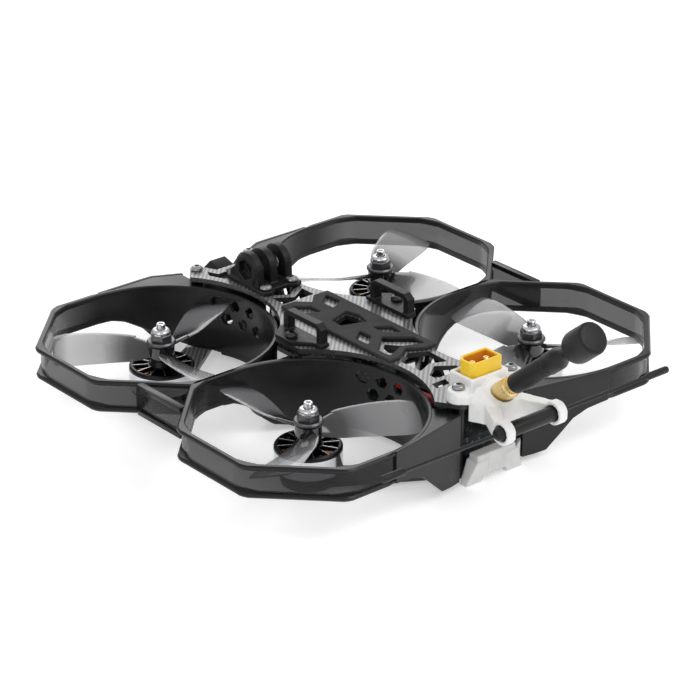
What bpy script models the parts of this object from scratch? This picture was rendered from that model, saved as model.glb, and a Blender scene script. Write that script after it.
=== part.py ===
"""Ducted 3.5 inch FPV racing drone, front towards -Y, belly on z = 0."""
import math

import bmesh
import bpy
from mathutils import Matrix, Vector

MM = 0.001

# Driving dimensions, millimetres.
MOTOR_X = 59.0
MOTOR_Y = 47.0
GAP = 0.3

# Plates.
BELLY_T = 2.0
TOP_Z0 = 31.2
TOP_Z1 = 33.2
PLATE_CLEAR_R = 48.6
PAD_T = 1.5

# Ducts.
RIM_Z = 30.0
OUTER_Z = 16.4
INNER_Z = 0.6
BORE_R = 45.8
RIM_R = 48.4
WALL_T = 1.4
BEAD_H = 2.3
RING_STEPS = 48
VENT_R = 2.9

# Motor stack.
STATOR_R = 11.6
BELL_R = 13.5
BELL_TOP = 15.8
BELL_BOTTOM = 6.2
SHAFT_R = 1.8
SPOKES = 9
SHAFT_TIP = 33.6
HUB_R = 5.4
HUB_Z0 = 18.4
HUB_Z1 = 24.7
BLADE_TIP_R = 44.2
NUT_Z0 = 25.0

# FPV camera.
CAM_Y = -76.0
CAM_Z = 20.0
CAM_HALF = 9.5
HOOD_R = 10.2
CAM_PLATE_X = 10.0
CAM_TILT = 20.0

# Antennas.
RX_Y = 108.3
RX_Z = 29.5
RX_SLOPE = 0.006
VTX_AXIS = Vector((0.0, 0.766, 0.643))
VTX_BASE = Vector((0.0, 91.5, 35.7))

# Battery connector.
PLUG_Y = 79.2

MOTORS = {
    "front_left": (1, -1, -1, -36.0),
    "front_right": (-1, -1, 1, -148.0),
    "rear_left": (1, 1, 1, 153.0),
    "rear_right": (-1, 1, -1, -97.0),
}


def clear_scene():
    for obj in list(bpy.data.objects):
        bpy.data.objects.remove(obj, do_unlink=True)


clear_scene()
scene_root = bpy.context.scene.collection
DRONE = bpy.data.collections.new("fpv_racing_drone")
TOOLS = bpy.data.collections.new("cutters")
scene_root.children.link(DRONE)
scene_root.children.link(TOOLS)


def material(name, color, metallic=0.0, roughness=0.5, alpha=1.0):
    mat = bpy.data.materials.new(name)
    mat.use_nodes = True
    shader = mat.node_tree.nodes["Principled BSDF"]
    shader.inputs["Base Color"].default_value = (*color, 1.0)
    shader.inputs["Metallic"].default_value = metallic
    shader.inputs["Roughness"].default_value = roughness
    shader.inputs["Alpha"].default_value = alpha
    mat.diffuse_color = (*color, 1.0)
    return mat


CARBON = ("carbon", (0.42, 0.42, 0.43), 0.1, 0.4)
SMOKED = ("smoked_plastic", (0.05, 0.05, 0.055), 0.0, 0.25)
BLACK_PLASTIC = ("black_plastic", (0.025, 0.025, 0.027), 0.0, 0.5)
RUBBER = ("rubber", (0.09, 0.09, 0.09), 0.0, 0.9)
WHITE_TPU = ("white_tpu", (0.86, 0.86, 0.85), 0.0, 0.5)
YELLOW = ("yellow_nylon", (0.9, 0.68, 0.02), 0.0, 0.4)
GOLD = ("gold_plate", (0.75, 0.55, 0.22), 1.0, 0.3)
STEEL = ("steel", (0.6, 0.6, 0.62), 1.0, 0.3)
BELL_METAL = ("bell_alloy", (0.06, 0.06, 0.065), 0.8, 0.35)
COPPER = ("copper", (0.6, 0.3, 0.14), 1.0, 0.4)
PROP = ("smoked_polycarbonate", (0.22, 0.22, 0.23), 0.0, 0.2)
BOARD = ("circuit_board", (0.02, 0.03, 0.04), 0.0, 0.5)
RED_WIRE = ("red_silicone", (0.6, 0.03, 0.03), 0.0, 0.6)
BLACK_WIRE = ("black_silicone", (0.03, 0.03, 0.03), 0.0, 0.6)
GLASS = ("lens_glass", (0.02, 0.02, 0.05), 0.0, 0.05)


def finish(obj, look, smooth_angle=None):
    """Give the piece its own material and shading."""
    name, color, metallic, roughness = look
    obj.data.materials.clear()
    obj.data.materials.append(material(f"{obj.name}_{name}", color, metallic, roughness))
    if smooth_angle is not None:
        obj.data.shade_smooth()
        obj.data.set_sharp_from_angle(angle=math.radians(smooth_angle))
    return obj


def link_mesh(name, bm, collection=None):
    """Turn a bmesh drawn in millimetres into a linked object in metres."""
    bmesh.ops.remove_doubles(bm, verts=bm.verts, dist=0.0005)
    bmesh.ops.recalc_face_normals(bm, faces=bm.faces)
    bmesh.ops.scale(bm, vec=(MM, MM, MM), verts=bm.verts)
    mesh = bpy.data.meshes.new(name)
    bm.to_mesh(mesh)
    bm.free()
    obj = bpy.data.objects.new(name, mesh)
    (collection or DRONE).objects.link(obj)
    return obj


def add_box(bm, x0, x1, y0, y1, z0, z1, turn=None):
    made = bmesh.ops.create_cube(bm, size=1.0)["verts"]
    bmesh.ops.scale(bm, vec=(x1 - x0, y1 - y0, z1 - z0), verts=made)
    centre = ((x0 + x1) / 2, (y0 + y1) / 2, (z0 + z1) / 2)
    bmesh.ops.translate(bm, vec=centre, verts=made)
    if turn is not None:
        bmesh.ops.transform(bm, matrix=turn, verts=made)
    return made


def add_prism(bm, outline, z0, z1, turn=None):
    """Straight prism over a plan outline."""
    low = [bm.verts.new((x, y, z0)) for x, y in outline]
    face = bm.faces.new(low)
    top = bmesh.ops.extrude_face_region(bm, geom=[face])["geom"]
    raised = [item for item in top if isinstance(item, bmesh.types.BMVert)]
    bmesh.ops.translate(bm, vec=(0, 0, z1 - z0), verts=raised)
    made = low + raised
    if turn is not None:
        bmesh.ops.transform(bm, matrix=turn, verts=made)
    return made


def along(axis):
    """Rotation that stands +Z on the given axis."""
    return Vector((0, 0, 1)).rotation_difference(Vector(axis)).to_matrix().to_4x4()


def add_lathe(bm, profile, steps, centre=(0, 0, 0), axis=(0, 0, 1), start=0.0):
    """Closed solid of revolution from (radius, height) pairs; radius 0 closes an end."""
    turn = Matrix.Translation(centre) @ along(axis)
    rings = []
    for radius, height in profile:
        if radius <= 0.0:
            rings.append([bm.verts.new(turn @ Vector((0, 0, height)))])
            continue
        ring = []
        for step in range(steps):
            angle = start + math.tau * step / steps
            point = Vector((radius * math.cos(angle), radius * math.sin(angle), height))
            ring.append(bm.verts.new(turn @ point))
        rings.append(ring)
    closed = profile[0][0] > 0.0
    pairs = list(zip(rings, rings[1:]))
    if closed:
        pairs.append((rings[-1], rings[0]))
    for low, high in pairs:
        for step in range(steps):
            after = (step + 1) % steps
            corner = [low[step % len(low)], low[after % len(low)]]
            corner += [high[after % len(high)], high[step % len(high)]]
            unique = list(dict.fromkeys(corner))
            if len(unique) > 2:
                bm.faces.new(unique)


def add_cylinder(bm, radius, z0, z1, centre=(0, 0, 0), axis=(0, 0, 1), steps=24, start=0.0):
    profile = [(0.0, z0), (radius, z0), (radius, z1), (0.0, z1)]
    add_lathe(bm, profile, steps, centre, axis, start)


def add_hull(bm, points):
    verts = [bm.verts.new(point) for point in points]
    hull = bmesh.ops.convex_hull(bm, input=verts)
    spare = [item for item in hull["geom_interior"] if isinstance(item, bmesh.types.BMVert)]
    bmesh.ops.delete(bm, geom=spare, context="VERTS")


def solid(name, draw, collection=None):
    bm = bmesh.new()
    draw(bm)
    return link_mesh(name, bm, collection)


def combine(obj, operation, draw, label):
    """Join or cut with a hidden helper solid."""
    tool = solid(f"{obj.name}_{label}", draw, TOOLS)
    tool.hide_render = True
    tool.display_type = "WIRE"
    step = obj.modifiers.new(label, "BOOLEAN")
    step.operation = operation
    step.object = tool
    step.solver = "EXACT"
    return tool


def join(obj, draw, label="add"):
    return combine(obj, "UNION", draw, label)


def cut(obj, draw, label="cut"):
    return combine(obj, "DIFFERENCE", draw, label)


def settle(obj):
    """Bake the helper joins into the piece's own mesh."""
    graph = bpy.context.evaluated_depsgraph_get()
    mesh = bpy.data.meshes.new_from_object(obj.evaluated_get(graph))
    bm = bmesh.new()
    bm.from_mesh(mesh)
    bmesh.ops.triangulate(bm, faces=bm.faces)
    bm.to_mesh(mesh)
    bm.free()
    obj.modifiers.clear()
    obj.data = mesh
    mesh.name = obj.name


def mirrored(obj, name, look, smooth_angle=None):
    """Same piece on the other side of the drone."""
    mesh = obj.data.copy()
    bm = bmesh.new()
    bm.from_mesh(mesh)
    bmesh.ops.scale(bm, vec=(-1, 1, 1), verts=bm.verts)
    bmesh.ops.recalc_face_normals(bm, faces=bm.faces)
    bm.to_mesh(mesh)
    bm.free()
    twin = bpy.data.objects.new(name, mesh)
    DRONE.objects.link(twin)
    return finish(twin, look, smooth_angle)


def arc(cx, cy, radius, start, end, count):
    """Points on an arc, angles in degrees."""
    points = []
    for step in range(count + 1):
        angle = math.radians(start + (end - start) * step / count)
        points.append((cx + radius * math.cos(angle), cy + radius * math.sin(angle)))
    return points


def quadrant_to_outline(points):
    """Mirror a quarter outline (from +Y axis round to +X axis) into a full ring."""
    rear_left = points
    front_left = [(x, -y) for x, y in reversed(points)]
    front_right = [(-x, -y) for x, y in points]
    rear_right = [(-x, y) for x, y in reversed(points)]
    ring = rear_left + front_left + front_right + rear_right
    clean = []
    for point in ring:
        if not clean or math.dist(point, clean[-1]) > 0.01:
            clean.append(point)
    if math.dist(clean[0], clean[-1]) < 0.01:
        clean.pop()
    return clean


def angle_at(x, y):
    """Direction of a plan point seen from the rear left motor, degrees."""
    return math.degrees(math.atan2(y - MOTOR_Y, x - MOTOR_X)) % 360.0


def circle_y(x, radius, side):
    """Height of the motor circle over x, on the far (+1) or near (-1) side."""
    return MOTOR_Y + side * math.sqrt(radius ** 2 - (x - MOTOR_X) ** 2)


# ---------------------------------------------------------------- plates

def top_outline():
    rear_x = 21.0
    waist_x = 31.0
    rear_y = circle_y(rear_x, PLATE_CLEAR_R, 1)
    waist_y = circle_y(waist_x, PLATE_CLEAR_R, -1)
    side = arc(MOTOR_X, MOTOR_Y, PLATE_CLEAR_R, angle_at(rear_x, rear_y), angle_at(waist_x, waist_y), 16)
    nose = [(15.1, -85.2), (11.4, -84.5), (10.0, -81.5), (7.6, -76.3)]
    half = [(14.6, 87.0)] + side + [(x, -y) for x, y in reversed(side)] + nose
    return half + [(-x, y) for x, y in reversed(half)]


def belly_outline():
    """Body strip with arms that leave its corners towards the motors."""
    pad_r = 11.0
    heading = math.degrees(math.atan2(MOTOR_Y - 82.0, MOTOR_X - 9.0))
    pad = arc(MOTOR_X, MOTOR_Y, pad_r, heading + 140.0, heading - 140.0, 14)
    waist_x = 19.0
    waist_y = circle_y(waist_x, PLATE_CLEAR_R, -1)
    near_y = 62.0
    near_x = MOTOR_X - math.sqrt(PLATE_CLEAR_R ** 2 - (near_y - MOTOR_Y) ** 2)
    side = arc(MOTOR_X, MOTOR_Y, PLATE_CLEAR_R, angle_at(near_x, near_y), angle_at(waist_x, waist_y), 8)
    corner = [(0.0, 84.4), (14.0, 84.4), (17.5, 81.0)]
    return quadrant_to_outline(corner + pad + [(15.0, 70.5)] + side + [(waist_x, 0.0)])


def box_ring(x0, x1, y0, y1):
    return [(x0, y0), (x1, y0), (x1, y1), (x0, y1)]


def top_windows(bm):
    """Lightening windows and slots, all the way through."""
    z0 = TOP_Z0 - 2.0
    z1 = TOP_Z1 + 2.0
    for side in (1, -1):
        rear_slot = [(4.6, 65.0), (11.6, 65.0), (12.6, 69.0), (5.8, 69.0)]
        add_prism(bm, [(side * x, y) for x, y in rear_slot], z0, z1)
    nose_window = [(11.8, -77.0), (13.8, -73.4), (10.8, -66.5)]
    add_prism(bm, [(-9.9, -72.3), (9.9, -72.3)] + nose_window + [(-x, y) for x, y in reversed(nose_window)],
              z0, z1)
    add_prism(bm, [(-8, -46), (8, -46), (8, -41.5), (0, -36.5), (-8, -41.5)], z0, z1)
    add_prism(bm, [(-8, -38.2), (0, -33.2), (8, -38.2), (8, -30.5), (-8, -30.5)], z0, z1)
    add_prism(bm, [(5.0, -3.0), (5.5, 3.5), (-4.5, 6.8), (-6.3, -0.3), (-4.8, -5.9)], z0, z1)
    add_prism(bm, [(0.5, 20.5), (0.5, 24.0), (-10.5, 33.5), (-10.5, 29.0)], z0, z1)
    add_prism(bm, [(1.9, 25.8), (4.8, 28.5), (5.9, 33.0), (4.2, 35.0), (-2.5, 31.2)], z0, z1)
    add_prism(bm, [(0, 38.0), (7.5, 42.0), (7.0, 53.5), (0, 50.5), (-7.0, 53.5), (-7.5, 42.0)], z0, z1)
    add_prism(bm, box_ring(-6.0, 6.0, 75.5, 82.5), z0, z1)
    add_prism(bm, [(-7, 58.5), (0, 53.5), (7, 58.5), (7, 62.5), (-7, 62.5)], z0, z1)


top_plate = solid("top_plate", lambda bm: add_prism(bm, top_outline(), TOP_Z0, TOP_Z1))
cut(top_plate, top_windows, "windows")

TOP_SCREWS = [(14.0, -81.5), (-14.0, -81.5), (13.8, 82.7), (-13.8, 82.7)]
BRACKET_SCREWS = [(28.0, -1.0), (-28.0, -1.0)]
MOUNT_SCREWS = [(7.0, -43.6), (-7.0, -43.6)]
SCREW_BORE = 1.8
SCREW_R = 1.5


def top_screw_holes(bm):
    for x, y in TOP_SCREWS + BRACKET_SCREWS + MOUNT_SCREWS:
        add_cylinder(bm, SCREW_BORE, TOP_Z0 - 2.0, TOP_Z1 + 2.0, (x, y, 0), steps=12)


cut(top_plate, top_screw_holes, "screw_holes")
finish(top_plate, CARBON)

bottom_plate = solid("bottom_plate", lambda bm: add_prism(bm, belly_outline(), 0.0, BELLY_T))
POSTS = [(sx * 15.25, sy * 15.25) for sx in (1, -1) for sy in (1, -1)]


def belly_windows(bm):
    for side in (1, -1):
        for y0, y1 in ((22.0, 38.0), (42.0, 60.0)):
            low, high = sorted((side * y0, side * y1))
            add_prism(bm, box_ring(-6.0, 6.0, low, high), -2.0, BELLY_T + 2.0)
    for x, y in POSTS:
        add_cylinder(bm, SCREW_BORE, -2.0, BELLY_T + 2.0, (x, y, 0), steps=12)


cut(bottom_plate, belly_windows, "windows")
finish(bottom_plate, CARBON)


# ---------------------------------------------------------------- ducts

def fold(angle, pitch=45.0):
    """Angle to the nearest flat of the octagon."""
    return (angle + pitch / 2) % pitch - pitch / 2


def ring_radius(angle, apothem, corner):
    """Octagonal on the outboard half (-90..90 degrees), round inboard."""
    wrapped = (angle + 180.0) % 360.0 - 180.0
    if abs(wrapped) > 90.0:
        return apothem
    flat = apothem / math.cos(math.radians(fold(wrapped)))
    return min(flat, apothem * corner)


def wall_bottom(angle):
    """Lower edge of the wall round a rear left duct; deeper towards the body."""
    wrapped = (angle + 180.0) % 360.0 - 180.0
    if -84.0 <= wrapped <= 92.0:
        return OUTER_Z
    inward = (angle - 90.0) % 360.0
    stations = [
        (0.0, OUTER_Z), (10.0, 16.2), (17.0, 14.7), (23.0, 12.2), (31.0, 8.8),
        (45.0, 4.0), (60.0, INNER_Z), (148.0, INNER_Z), (158.0, 1.9),
        (164.4, 5.9), (168.3, 9.7), (173.7, 13.0), (180.0, 15.4), (190.0, OUTER_Z),
    ]
    for (a0, z0), (a1, z1) in zip(stations, stations[1:]):
        if a0 <= inward <= a1:
            return z0 + (z1 - z0) * (inward - a0) / (a1 - a0)
    return OUTER_Z


def add_duct_ring(bm, front):
    """Thin wall with a bead along its upper and lower edge."""
    mirror = -1 if front else 1
    shrink = 0.03 if front else 0.0
    seam = -0.6 if front else -0.75
    rows = []
    for step in range(RING_STEPS):
        angle = 360.0 * step / RING_STEPS
        toward = Vector((math.cos(math.radians(angle)), math.sin(math.radians(angle))))
        inner = ring_radius(angle, BORE_R, 1.045)
        outer = max(ring_radius(angle, RIM_R, 1.07), inner + WALL_T + 0.6)
        if abs((angle + 180.0) % 360.0 - 180.0) > 90.0:
            outer = BORE_R + 2.2
        low = wall_bottom(angle) + shrink
        high = RIM_Z - shrink
        section = [
            (inner, high), (inner, low), (outer, low), (outer, low + BEAD_H - 0.6),
            (inner + WALL_T, low + BEAD_H), (inner + WALL_T, high - BEAD_H),
            (outer, high - BEAD_H + 0.6), (outer, high),
        ]
        row = []
        for radius, height in section:
            x = MOTOR_X + radius * toward.x
            y = max(MOTOR_Y + radius * toward.y, seam)
            row.append(bm.verts.new((x, mirror * y, height)))
        rows.append(row)
    for step in range(RING_STEPS):
        near = rows[step]
        far = rows[(step + 1) % RING_STEPS]
        for index in range(len(near)):
            after = (index + 1) % len(near)
            bm.faces.new((near[index], near[after], far[after], far[index]))


def add_corner_panel(bm, sign):
    """Fairing from the duct's outer edge to the body, with its web under the top plate."""
    if sign > 0:
        stations = [(56.0, 95.2, 16.6), (46.0, 93.6, 15.2), (39.5, 92.3, 12.4), (33.0, 91.0, 6.4),
                    (27.5, 89.8, 1.4), (22.0, 88.7, 0.9), (16.6, 87.6, 0.9)]
    else:
        stations = [(56.0, 95.2, 16.6), (46.0, 95.2, 15.2), (39.5, 95.2, 12.4), (33.0, 95.2, 6.4),
                    (28.5, 95.0, 1.4), (22.0, 91.8, 0.9), (16.6, 89.2, 0.9)]
    rows = []
    for x, y, low in stations:
        row = [(x, y, low), (x, y, RIM_Z), (x, y - WALL_T, RIM_Z), (x, y - WALL_T, low)]
        rows.append([bm.verts.new((px, sign * py, pz)) for px, py, pz in row])
    for near, far in zip(rows, rows[1:]):
        for index in range(4):
            after = (index + 1) % 4
            bm.faces.new((near[index], near[after], far[after], far[index]))
    bm.faces.new(rows[0])
    bm.faces.new(rows[-1])


def add_corner_web(bm, sign):
    """Flat web between the round rim and the corner panel."""
    edge = [(54.0, 94.2), (46.0, 92.9), (33.0, 90.3), (17.2, 87.0), (17.2, 80.0), (21.5, 75.4)]
    if sign < 0:
        edge = [(54.0, 94.4), (30.0, 94.4), (17.2, 88.6), (17.2, 80.0), (21.5, 75.4)]
    rim = arc(MOTOR_X, MOTOR_Y, BORE_R + 0.8, angle_at(22.5, 75.4), 97.0, 10)
    add_prism(bm, [(x, sign * y) for x, y in edge + rim], RIM_Z - 1.6, RIM_Z - 0.2)


def add_vents(bm):
    """Honeycomb vents in the wall beside the body."""
    for sign in (1, -1):
        for height, offsets in ((24.7, (-17.5, -9.0, 0.0)), (18.0, (-13.0, -4.2, 4.5))):
            for offset in offsets:
                centre = (6.0, sign * MOTOR_Y + offset, height)
                add_cylinder(bm, VENT_R, 0.0, 16.0, centre, (1, 0, 0), 6, math.pi / 6)
    for y in (-75.2, 15.4):
        sign = 1 if y > 0 else -1
        radial = Vector((22.0 - MOTOR_X, y - sign * MOTOR_Y, 0)).normalized()
        base = Vector((MOTOR_X, sign * MOTOR_Y, 22.5)) + radial * (BORE_R - 4.0)
        add_cylinder(bm, VENT_R, 0.0, 9.0, base, radial, 6, math.pi / 6)


def arm_clearance(bm):
    """Slots that let the arms pass under the wall."""
    for sign in (1, -1):
        grown = []
        for x, y in arm_strip():
            grown.append((x, sign * y))
        add_prism(bm, grown, -3.0, BELLY_T + GAP)


def arm_strip():
    start = Vector((4.0, 85.5))
    end = Vector((MOTOR_X, MOTOR_Y))
    ahead = (end - start).normalized()
    beside = Vector((-ahead.y, ahead.x)) * 11.6
    return [start + beside, end + beside, end - beside, start - beside]


def build_duct():
    duct = solid("left_duct", lambda bm: add_duct_ring(bm, False))
    join(duct, lambda bm: add_duct_ring(bm, True), "front_ring")
    for sign, label in ((1, "rear"), (-1, "front")):
        join(duct, lambda bm: add_corner_panel(bm, sign), f"{label}_panel")
        join(duct, lambda bm: add_corner_web(bm, sign), f"{label}_web")
    join(duct, lambda bm: add_box(bm, 93.6, 95.0, -15.5, 15.5, OUTER_Z + 0.3, RIM_Z - 0.3), "bridge")
    join(duct, lambda bm: add_box(bm, 92.8, 95.8, -13.5, 13.5, RIM_Z - 2.3, RIM_Z - 0.1), "bridge_top")
    join(duct, lambda bm: add_box(bm, 92.8, 95.8, -13.5, 13.5, OUTER_Z + 0.1, OUTER_Z + 2.3), "bridge_foot")
    cut(duct, add_vents, "vents")
    cut(duct, arm_clearance, "arms")
    settle(duct)
    return finish(duct, SMOKED, 40)


left_duct = build_duct()
right_duct = mirrored(left_duct, "right_duct", SMOKED, 40)


# ---------------------------------------------------------------- motors and propellers

def draw_stator(bm):
    """Mounting base, tooth ring and bearing tube in one piece."""
    z0 = BELLY_T + GAP
    profile = [
        (2.2, z0), (9.5, z0), (12.8, z0 + 2.2), (12.8, z0 + 3.4), (5.0, z0 + 3.4),
        (5.0, 7.0), (11.4, 7.0), (11.4, 12.4), (2.2, 12.4),
    ]
    add_lathe(bm, profile, 18)


def draw_coil_slots(bm):
    """Slots between the nine windings."""
    for step in range(SPOKES):
        turn = Matrix.Rotation(math.tau * step / SPOKES, 4, "Z")
        add_box(bm, 6.4, 14.0, -0.7, 0.7, 6.0, 13.4, turn)


def draw_bell(bm):
    """Cup with a domed top and the shaft through it."""
    profile = [
        (0.0, 5.0), (SHAFT_R, 5.0), (SHAFT_R, 14.2), (12.3, 14.2), (12.3, BELL_BOTTOM),
        (BELL_R, BELL_BOTTOM), (BELL_R, 15.0), (BELL_R - 0.8, BELL_TOP), (5.0, BELL_TOP),
        (4.4, HUB_Z0 - GAP), (SHAFT_R, HUB_Z0 - GAP),
        (SHAFT_R, SHAFT_TIP), (0.0, SHAFT_TIP),
    ]
    add_lathe(bm, profile, 24)


def draw_bell_windows(bm):
    """Cooling windows between the nine spokes."""
    for step in range(SPOKES):
        turn = Matrix.Rotation(math.tau * (step + 0.5) / SPOKES, 4, "Z")
        outline = [(5.6, -1.3), (11.6, -3.3), (11.6, 3.3), (5.6, 1.3)]
        add_prism(bm, outline, 13.0, 17.0, turn)


BLADE_STATIONS = [
    # radius, chord, pitch angle, forward sweep, thickness, rise
    (3.2, 6.5, 32.0, 0.0, 2.4, -0.2),
    (7.5, 10.0, 30.0, 1.0, 2.0, 0.0),
    (13.0, 13.5, 27.0, 1.6, 1.7, 0.3),
    (20.0, 16.0, 23.0, 1.8, 1.4, 0.6),
    (29.0, 18.5, 20.0, 0.8, 1.2, 1.2),
    (39.0, 20.0, 17.0, -0.4, 1.0, 1.5),
    (BLADE_TIP_R, 18.0, 16.0, -1.0, 0.8, 1.5),
]
BLADE_Z = 21.6


def blade_section(radius, chord, pitch, sweep, thick, rise, hand):
    """Six-sided aerofoil cut across one blade."""
    shape = [(-0.5, 0.0), (-0.25, 0.45), (0.15, 0.5), (0.5, 0.0), (0.2, -0.35), (-0.25, -0.3)]
    points = []
    for along_chord, across in shape:
        tilt = math.radians(pitch)
        a = along_chord * chord
        t = across * thick
        y = a * math.cos(tilt) - t * math.sin(tilt) + sweep
        z = a * math.sin(tilt) + t * math.cos(tilt)
        reach = math.sqrt(max(radius ** 2 - y ** 2, 0.0)) if radius > 12.0 else radius
        points.append(Vector((reach, hand * y, BLADE_Z + rise + z)))
    return points


def add_blade(bm, hand, turn):
    rows = []
    for station in BLADE_STATIONS:
        section = blade_section(*station, hand)
        rows.append([bm.verts.new(turn @ point) for point in section])
    for near, far in zip(rows, rows[1:]):
        for index in range(6):
            after = (index + 1) % 6
            bm.faces.new((near[index], near[after], far[after], far[index]))
    bm.faces.new(rows[0])
    bm.faces.new(rows[-1])


def build_prop(name, hand):
    """Three blades on a bored hub."""
    prop = solid(name, lambda bm: add_cylinder(bm, HUB_R, HUB_Z0, HUB_Z1, steps=18))
    for step in range(3):
        turn = Matrix.Rotation(math.tau * step / 3, 4, "Z")
        join(prop, lambda bm: add_blade(bm, hand, turn), f"blade_{step + 1}")
    cut(prop, lambda bm: add_cylinder(bm, SHAFT_R + GAP, 10.0, 30.0, steps=12), "bore")
    settle(prop)
    return prop


def draw_nut(bm):
    """Flanged lock nut: flange, hexagon and crimped collar."""
    bore = SHAFT_R + GAP
    add_lathe(bm, [(bore, NUT_Z0), (6.0, NUT_Z0), (5.5, 26.4), (bore, 26.4)], 12)


def build_nut(name):
    nut = solid(name, draw_nut)
    join(nut, lambda bm: add_lathe(bm, [(2.3, 25.8), (4.7, 25.8), (4.7, 29.4), (2.3, 29.4)], 6), "hex")
    join(nut, lambda bm: add_lathe(bm, [(2.1, 28.2), (3.8, 28.2), (3.6, 30.6), (2.8, 31.3), (2.1, 31.3)], 12), "collar")
    settle(nut)
    return nut


def place_copy(source, name, location, look, spin=0.0, smooth_angle=35):
    """A separate object on the motor's axis, sharing the source's shape."""
    mesh = source.data.copy()
    obj = bpy.data.objects.new(name, mesh)
    DRONE.objects.link(obj)
    obj.location = location
    obj.rotation_euler = (0, 0, math.radians(spin))
    return finish(obj, look, smooth_angle)


def build_motors():
    stator = solid("stator_pattern", draw_stator)
    cut(stator, draw_coil_slots, "slots")
    settle(stator)
    bell = solid("bell_pattern", draw_bell)
    cut(bell, draw_bell_windows, "windows")
    settle(bell)
    props = {1: build_prop("prop_pattern_a", 1), -1: build_prop("prop_pattern_b", -1)}
    nut = build_nut("nut_pattern")
    for corner, (sx, sy, hand, spin) in MOTORS.items():
        at = (sx * MOTOR_X * MM, sy * MOTOR_Y * MM, 0.0)
        place_copy(stator, f"stator_{corner}", at, COPPER)
        place_copy(bell, f"motor_bell_{corner}", at, BELL_METAL)
        place_copy(props[hand], f"propeller_{corner}", at, PROP, spin, 30)
        place_copy(nut, f"prop_nut_{corner}", at, STEEL)
    for pattern in (stator, bell, props[1], props[-1], nut):
        bpy.data.objects.remove(pattern, do_unlink=True)


build_motors()


# ---------------------------------------------------------------- structure between the plates

def build_standoffs():
    for index, (x, y) in enumerate(TOP_SCREWS):
        end = "front" if y < 0 else "rear"
        hand = "left" if x > 0 else "right"
        post = solid(f"standoff_{end}_{hand}", lambda bm: add_lathe(
            bm, [(0, BELLY_T + GAP), (2.5, BELLY_T + GAP), (2.5, TOP_Z0 - GAP), (1.3, TOP_Z0 - GAP),
                 (1.3, 22.0), (0, 22.0)], 12, (x, y, 0)))
        finish(post, STEEL, 35)


build_standoffs()


def screw(name, x, y, seat, shank):
    """Button-head screw with a hexagonal socket."""
    profile = [
        (0, seat - shank), (1.0, seat - shank), (1.0, seat), (2.6, seat), (2.4, seat + 1.2),
        (1.2, seat + 1.7), (1.0, seat + 0.6), (0, seat + 0.6),
    ]
    bolt = solid(name, lambda bm: add_lathe(bm, profile, 10, (x, y, 0)))
    return finish(bolt, STEEL, 35)


# ---------------------------------------------------------------- FPV camera

def camera_plate_outline():
    """Side plate outline in Y and Z."""
    return [(-85.0, 2.3), (-66.0, 2.3), (-66.0, 30.9), (-85.0, 30.9), (-90.0, 24.0), (-90.0, 10.0)]


UPRIGHT = Matrix(((0, 0, 1, 0), (1, 0, 0, 0), (0, 1, 0, 0), (0, 0, 0, 1)))


def build_camera():
    pivot = (0.0, CAM_Y, CAM_Z)
    for side, hand in ((1, "left"), (-1, "right")):
        x0 = CAM_PLATE_X if side > 0 else -CAM_PLATE_X - 1.0
        cheek = solid(f"camera_plate_{hand}", lambda bm: add_prism(
            bm, camera_plate_outline(), x0, x0 + 1.0, UPRIGHT))
        cut(cheek, lambda bm: add_cylinder(bm, 1.5, -15.0, 15.0, pivot, (1, 0, 0), 16), "pivot")
        finish(cheek, CARBON)
    tilt = Matrix.Translation(Vector(pivot)) @ Matrix.Rotation(math.radians(-CAM_TILT), 4, "X")
    spot = Matrix.Translation(Vector(pivot) * MM) @ Matrix.Rotation(math.radians(-CAM_TILT), 4, "X")
    body = solid("fpv_camera", lambda bm: add_box(bm, -CAM_HALF, CAM_HALF, -8.0, 7.0, -8.5, 8.5))
    join(body, lambda bm: add_lathe(bm, [(0, -13.5), (HOOD_R, -13.5), (HOOD_R, -7.0), (0, -7.0)], 8,
                                    axis=(0, 1, 0), start=math.pi / 8), "hood")
    cut(body, lambda bm: add_cylinder(bm, 5.6, -14.5, -6.0, axis=(0, 1, 0), steps=20), "throat")
    cut(body, lambda bm: add_cylinder(bm, 1.3, -12.0, -6.5, axis=(1, 0, 0), steps=12), "thread_right")
    cut(body, lambda bm: add_cylinder(bm, 1.3, 6.5, 12.0, axis=(1, 0, 0), steps=12), "thread_left")
    settle(body)
    body.matrix_world = spot
    finish(body, BLACK_PLASTIC, 35)
    lens = solid("camera_lens", lambda bm: add_lathe(
        bm, [(0, -6.3), (5.3, -6.3), (5.3, -11.0), (3.0, -12.2), (0, -12.6)], 20, axis=(0, 1, 0)))
    lens.parent = body
    finish(lens, GLASS, 35)
    for side, hand in ((1, "left"), (-1, "right")):
        pin = solid(f"camera_pivot_screw_{hand}", lambda bm: add_lathe(
            bm, [(0, 7.0), (1.0, 7.0), (1.0, 11.3), (2.2, 11.3), (2.0, 12.4), (0, 12.6)], 12,
            axis=(side, 0, 0)))
        pin.parent = body
        finish(pin, STEEL, 35)


build_camera()


# ---------------------------------------------------------------- electronics

def board_at(name, z, half_x, half_y, centre_y, chips, look=BOARD, holes=()):
    """Circuit board with its soldered parts."""
    board = solid(name, lambda bm: add_box(
        bm, -half_x, half_x, centre_y - half_y, centre_y + half_y, z, z + 1.6))
    for index, (x0, x1, y0, y1, tall) in enumerate(chips):
        join(board, lambda bm: add_box(bm, x0, x1, centre_y + y0, centre_y + y1, z + 1.0, z + 1.6 + tall),
             f"part_{index + 1}")
    if holes:
        cut(board, lambda bm: [add_cylinder(bm, 2.0, z - 2.0, z + 4.0, (x, y, 0), steps=12)
                               for x, y in holes], "holes")
    return finish(board, look)


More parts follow.
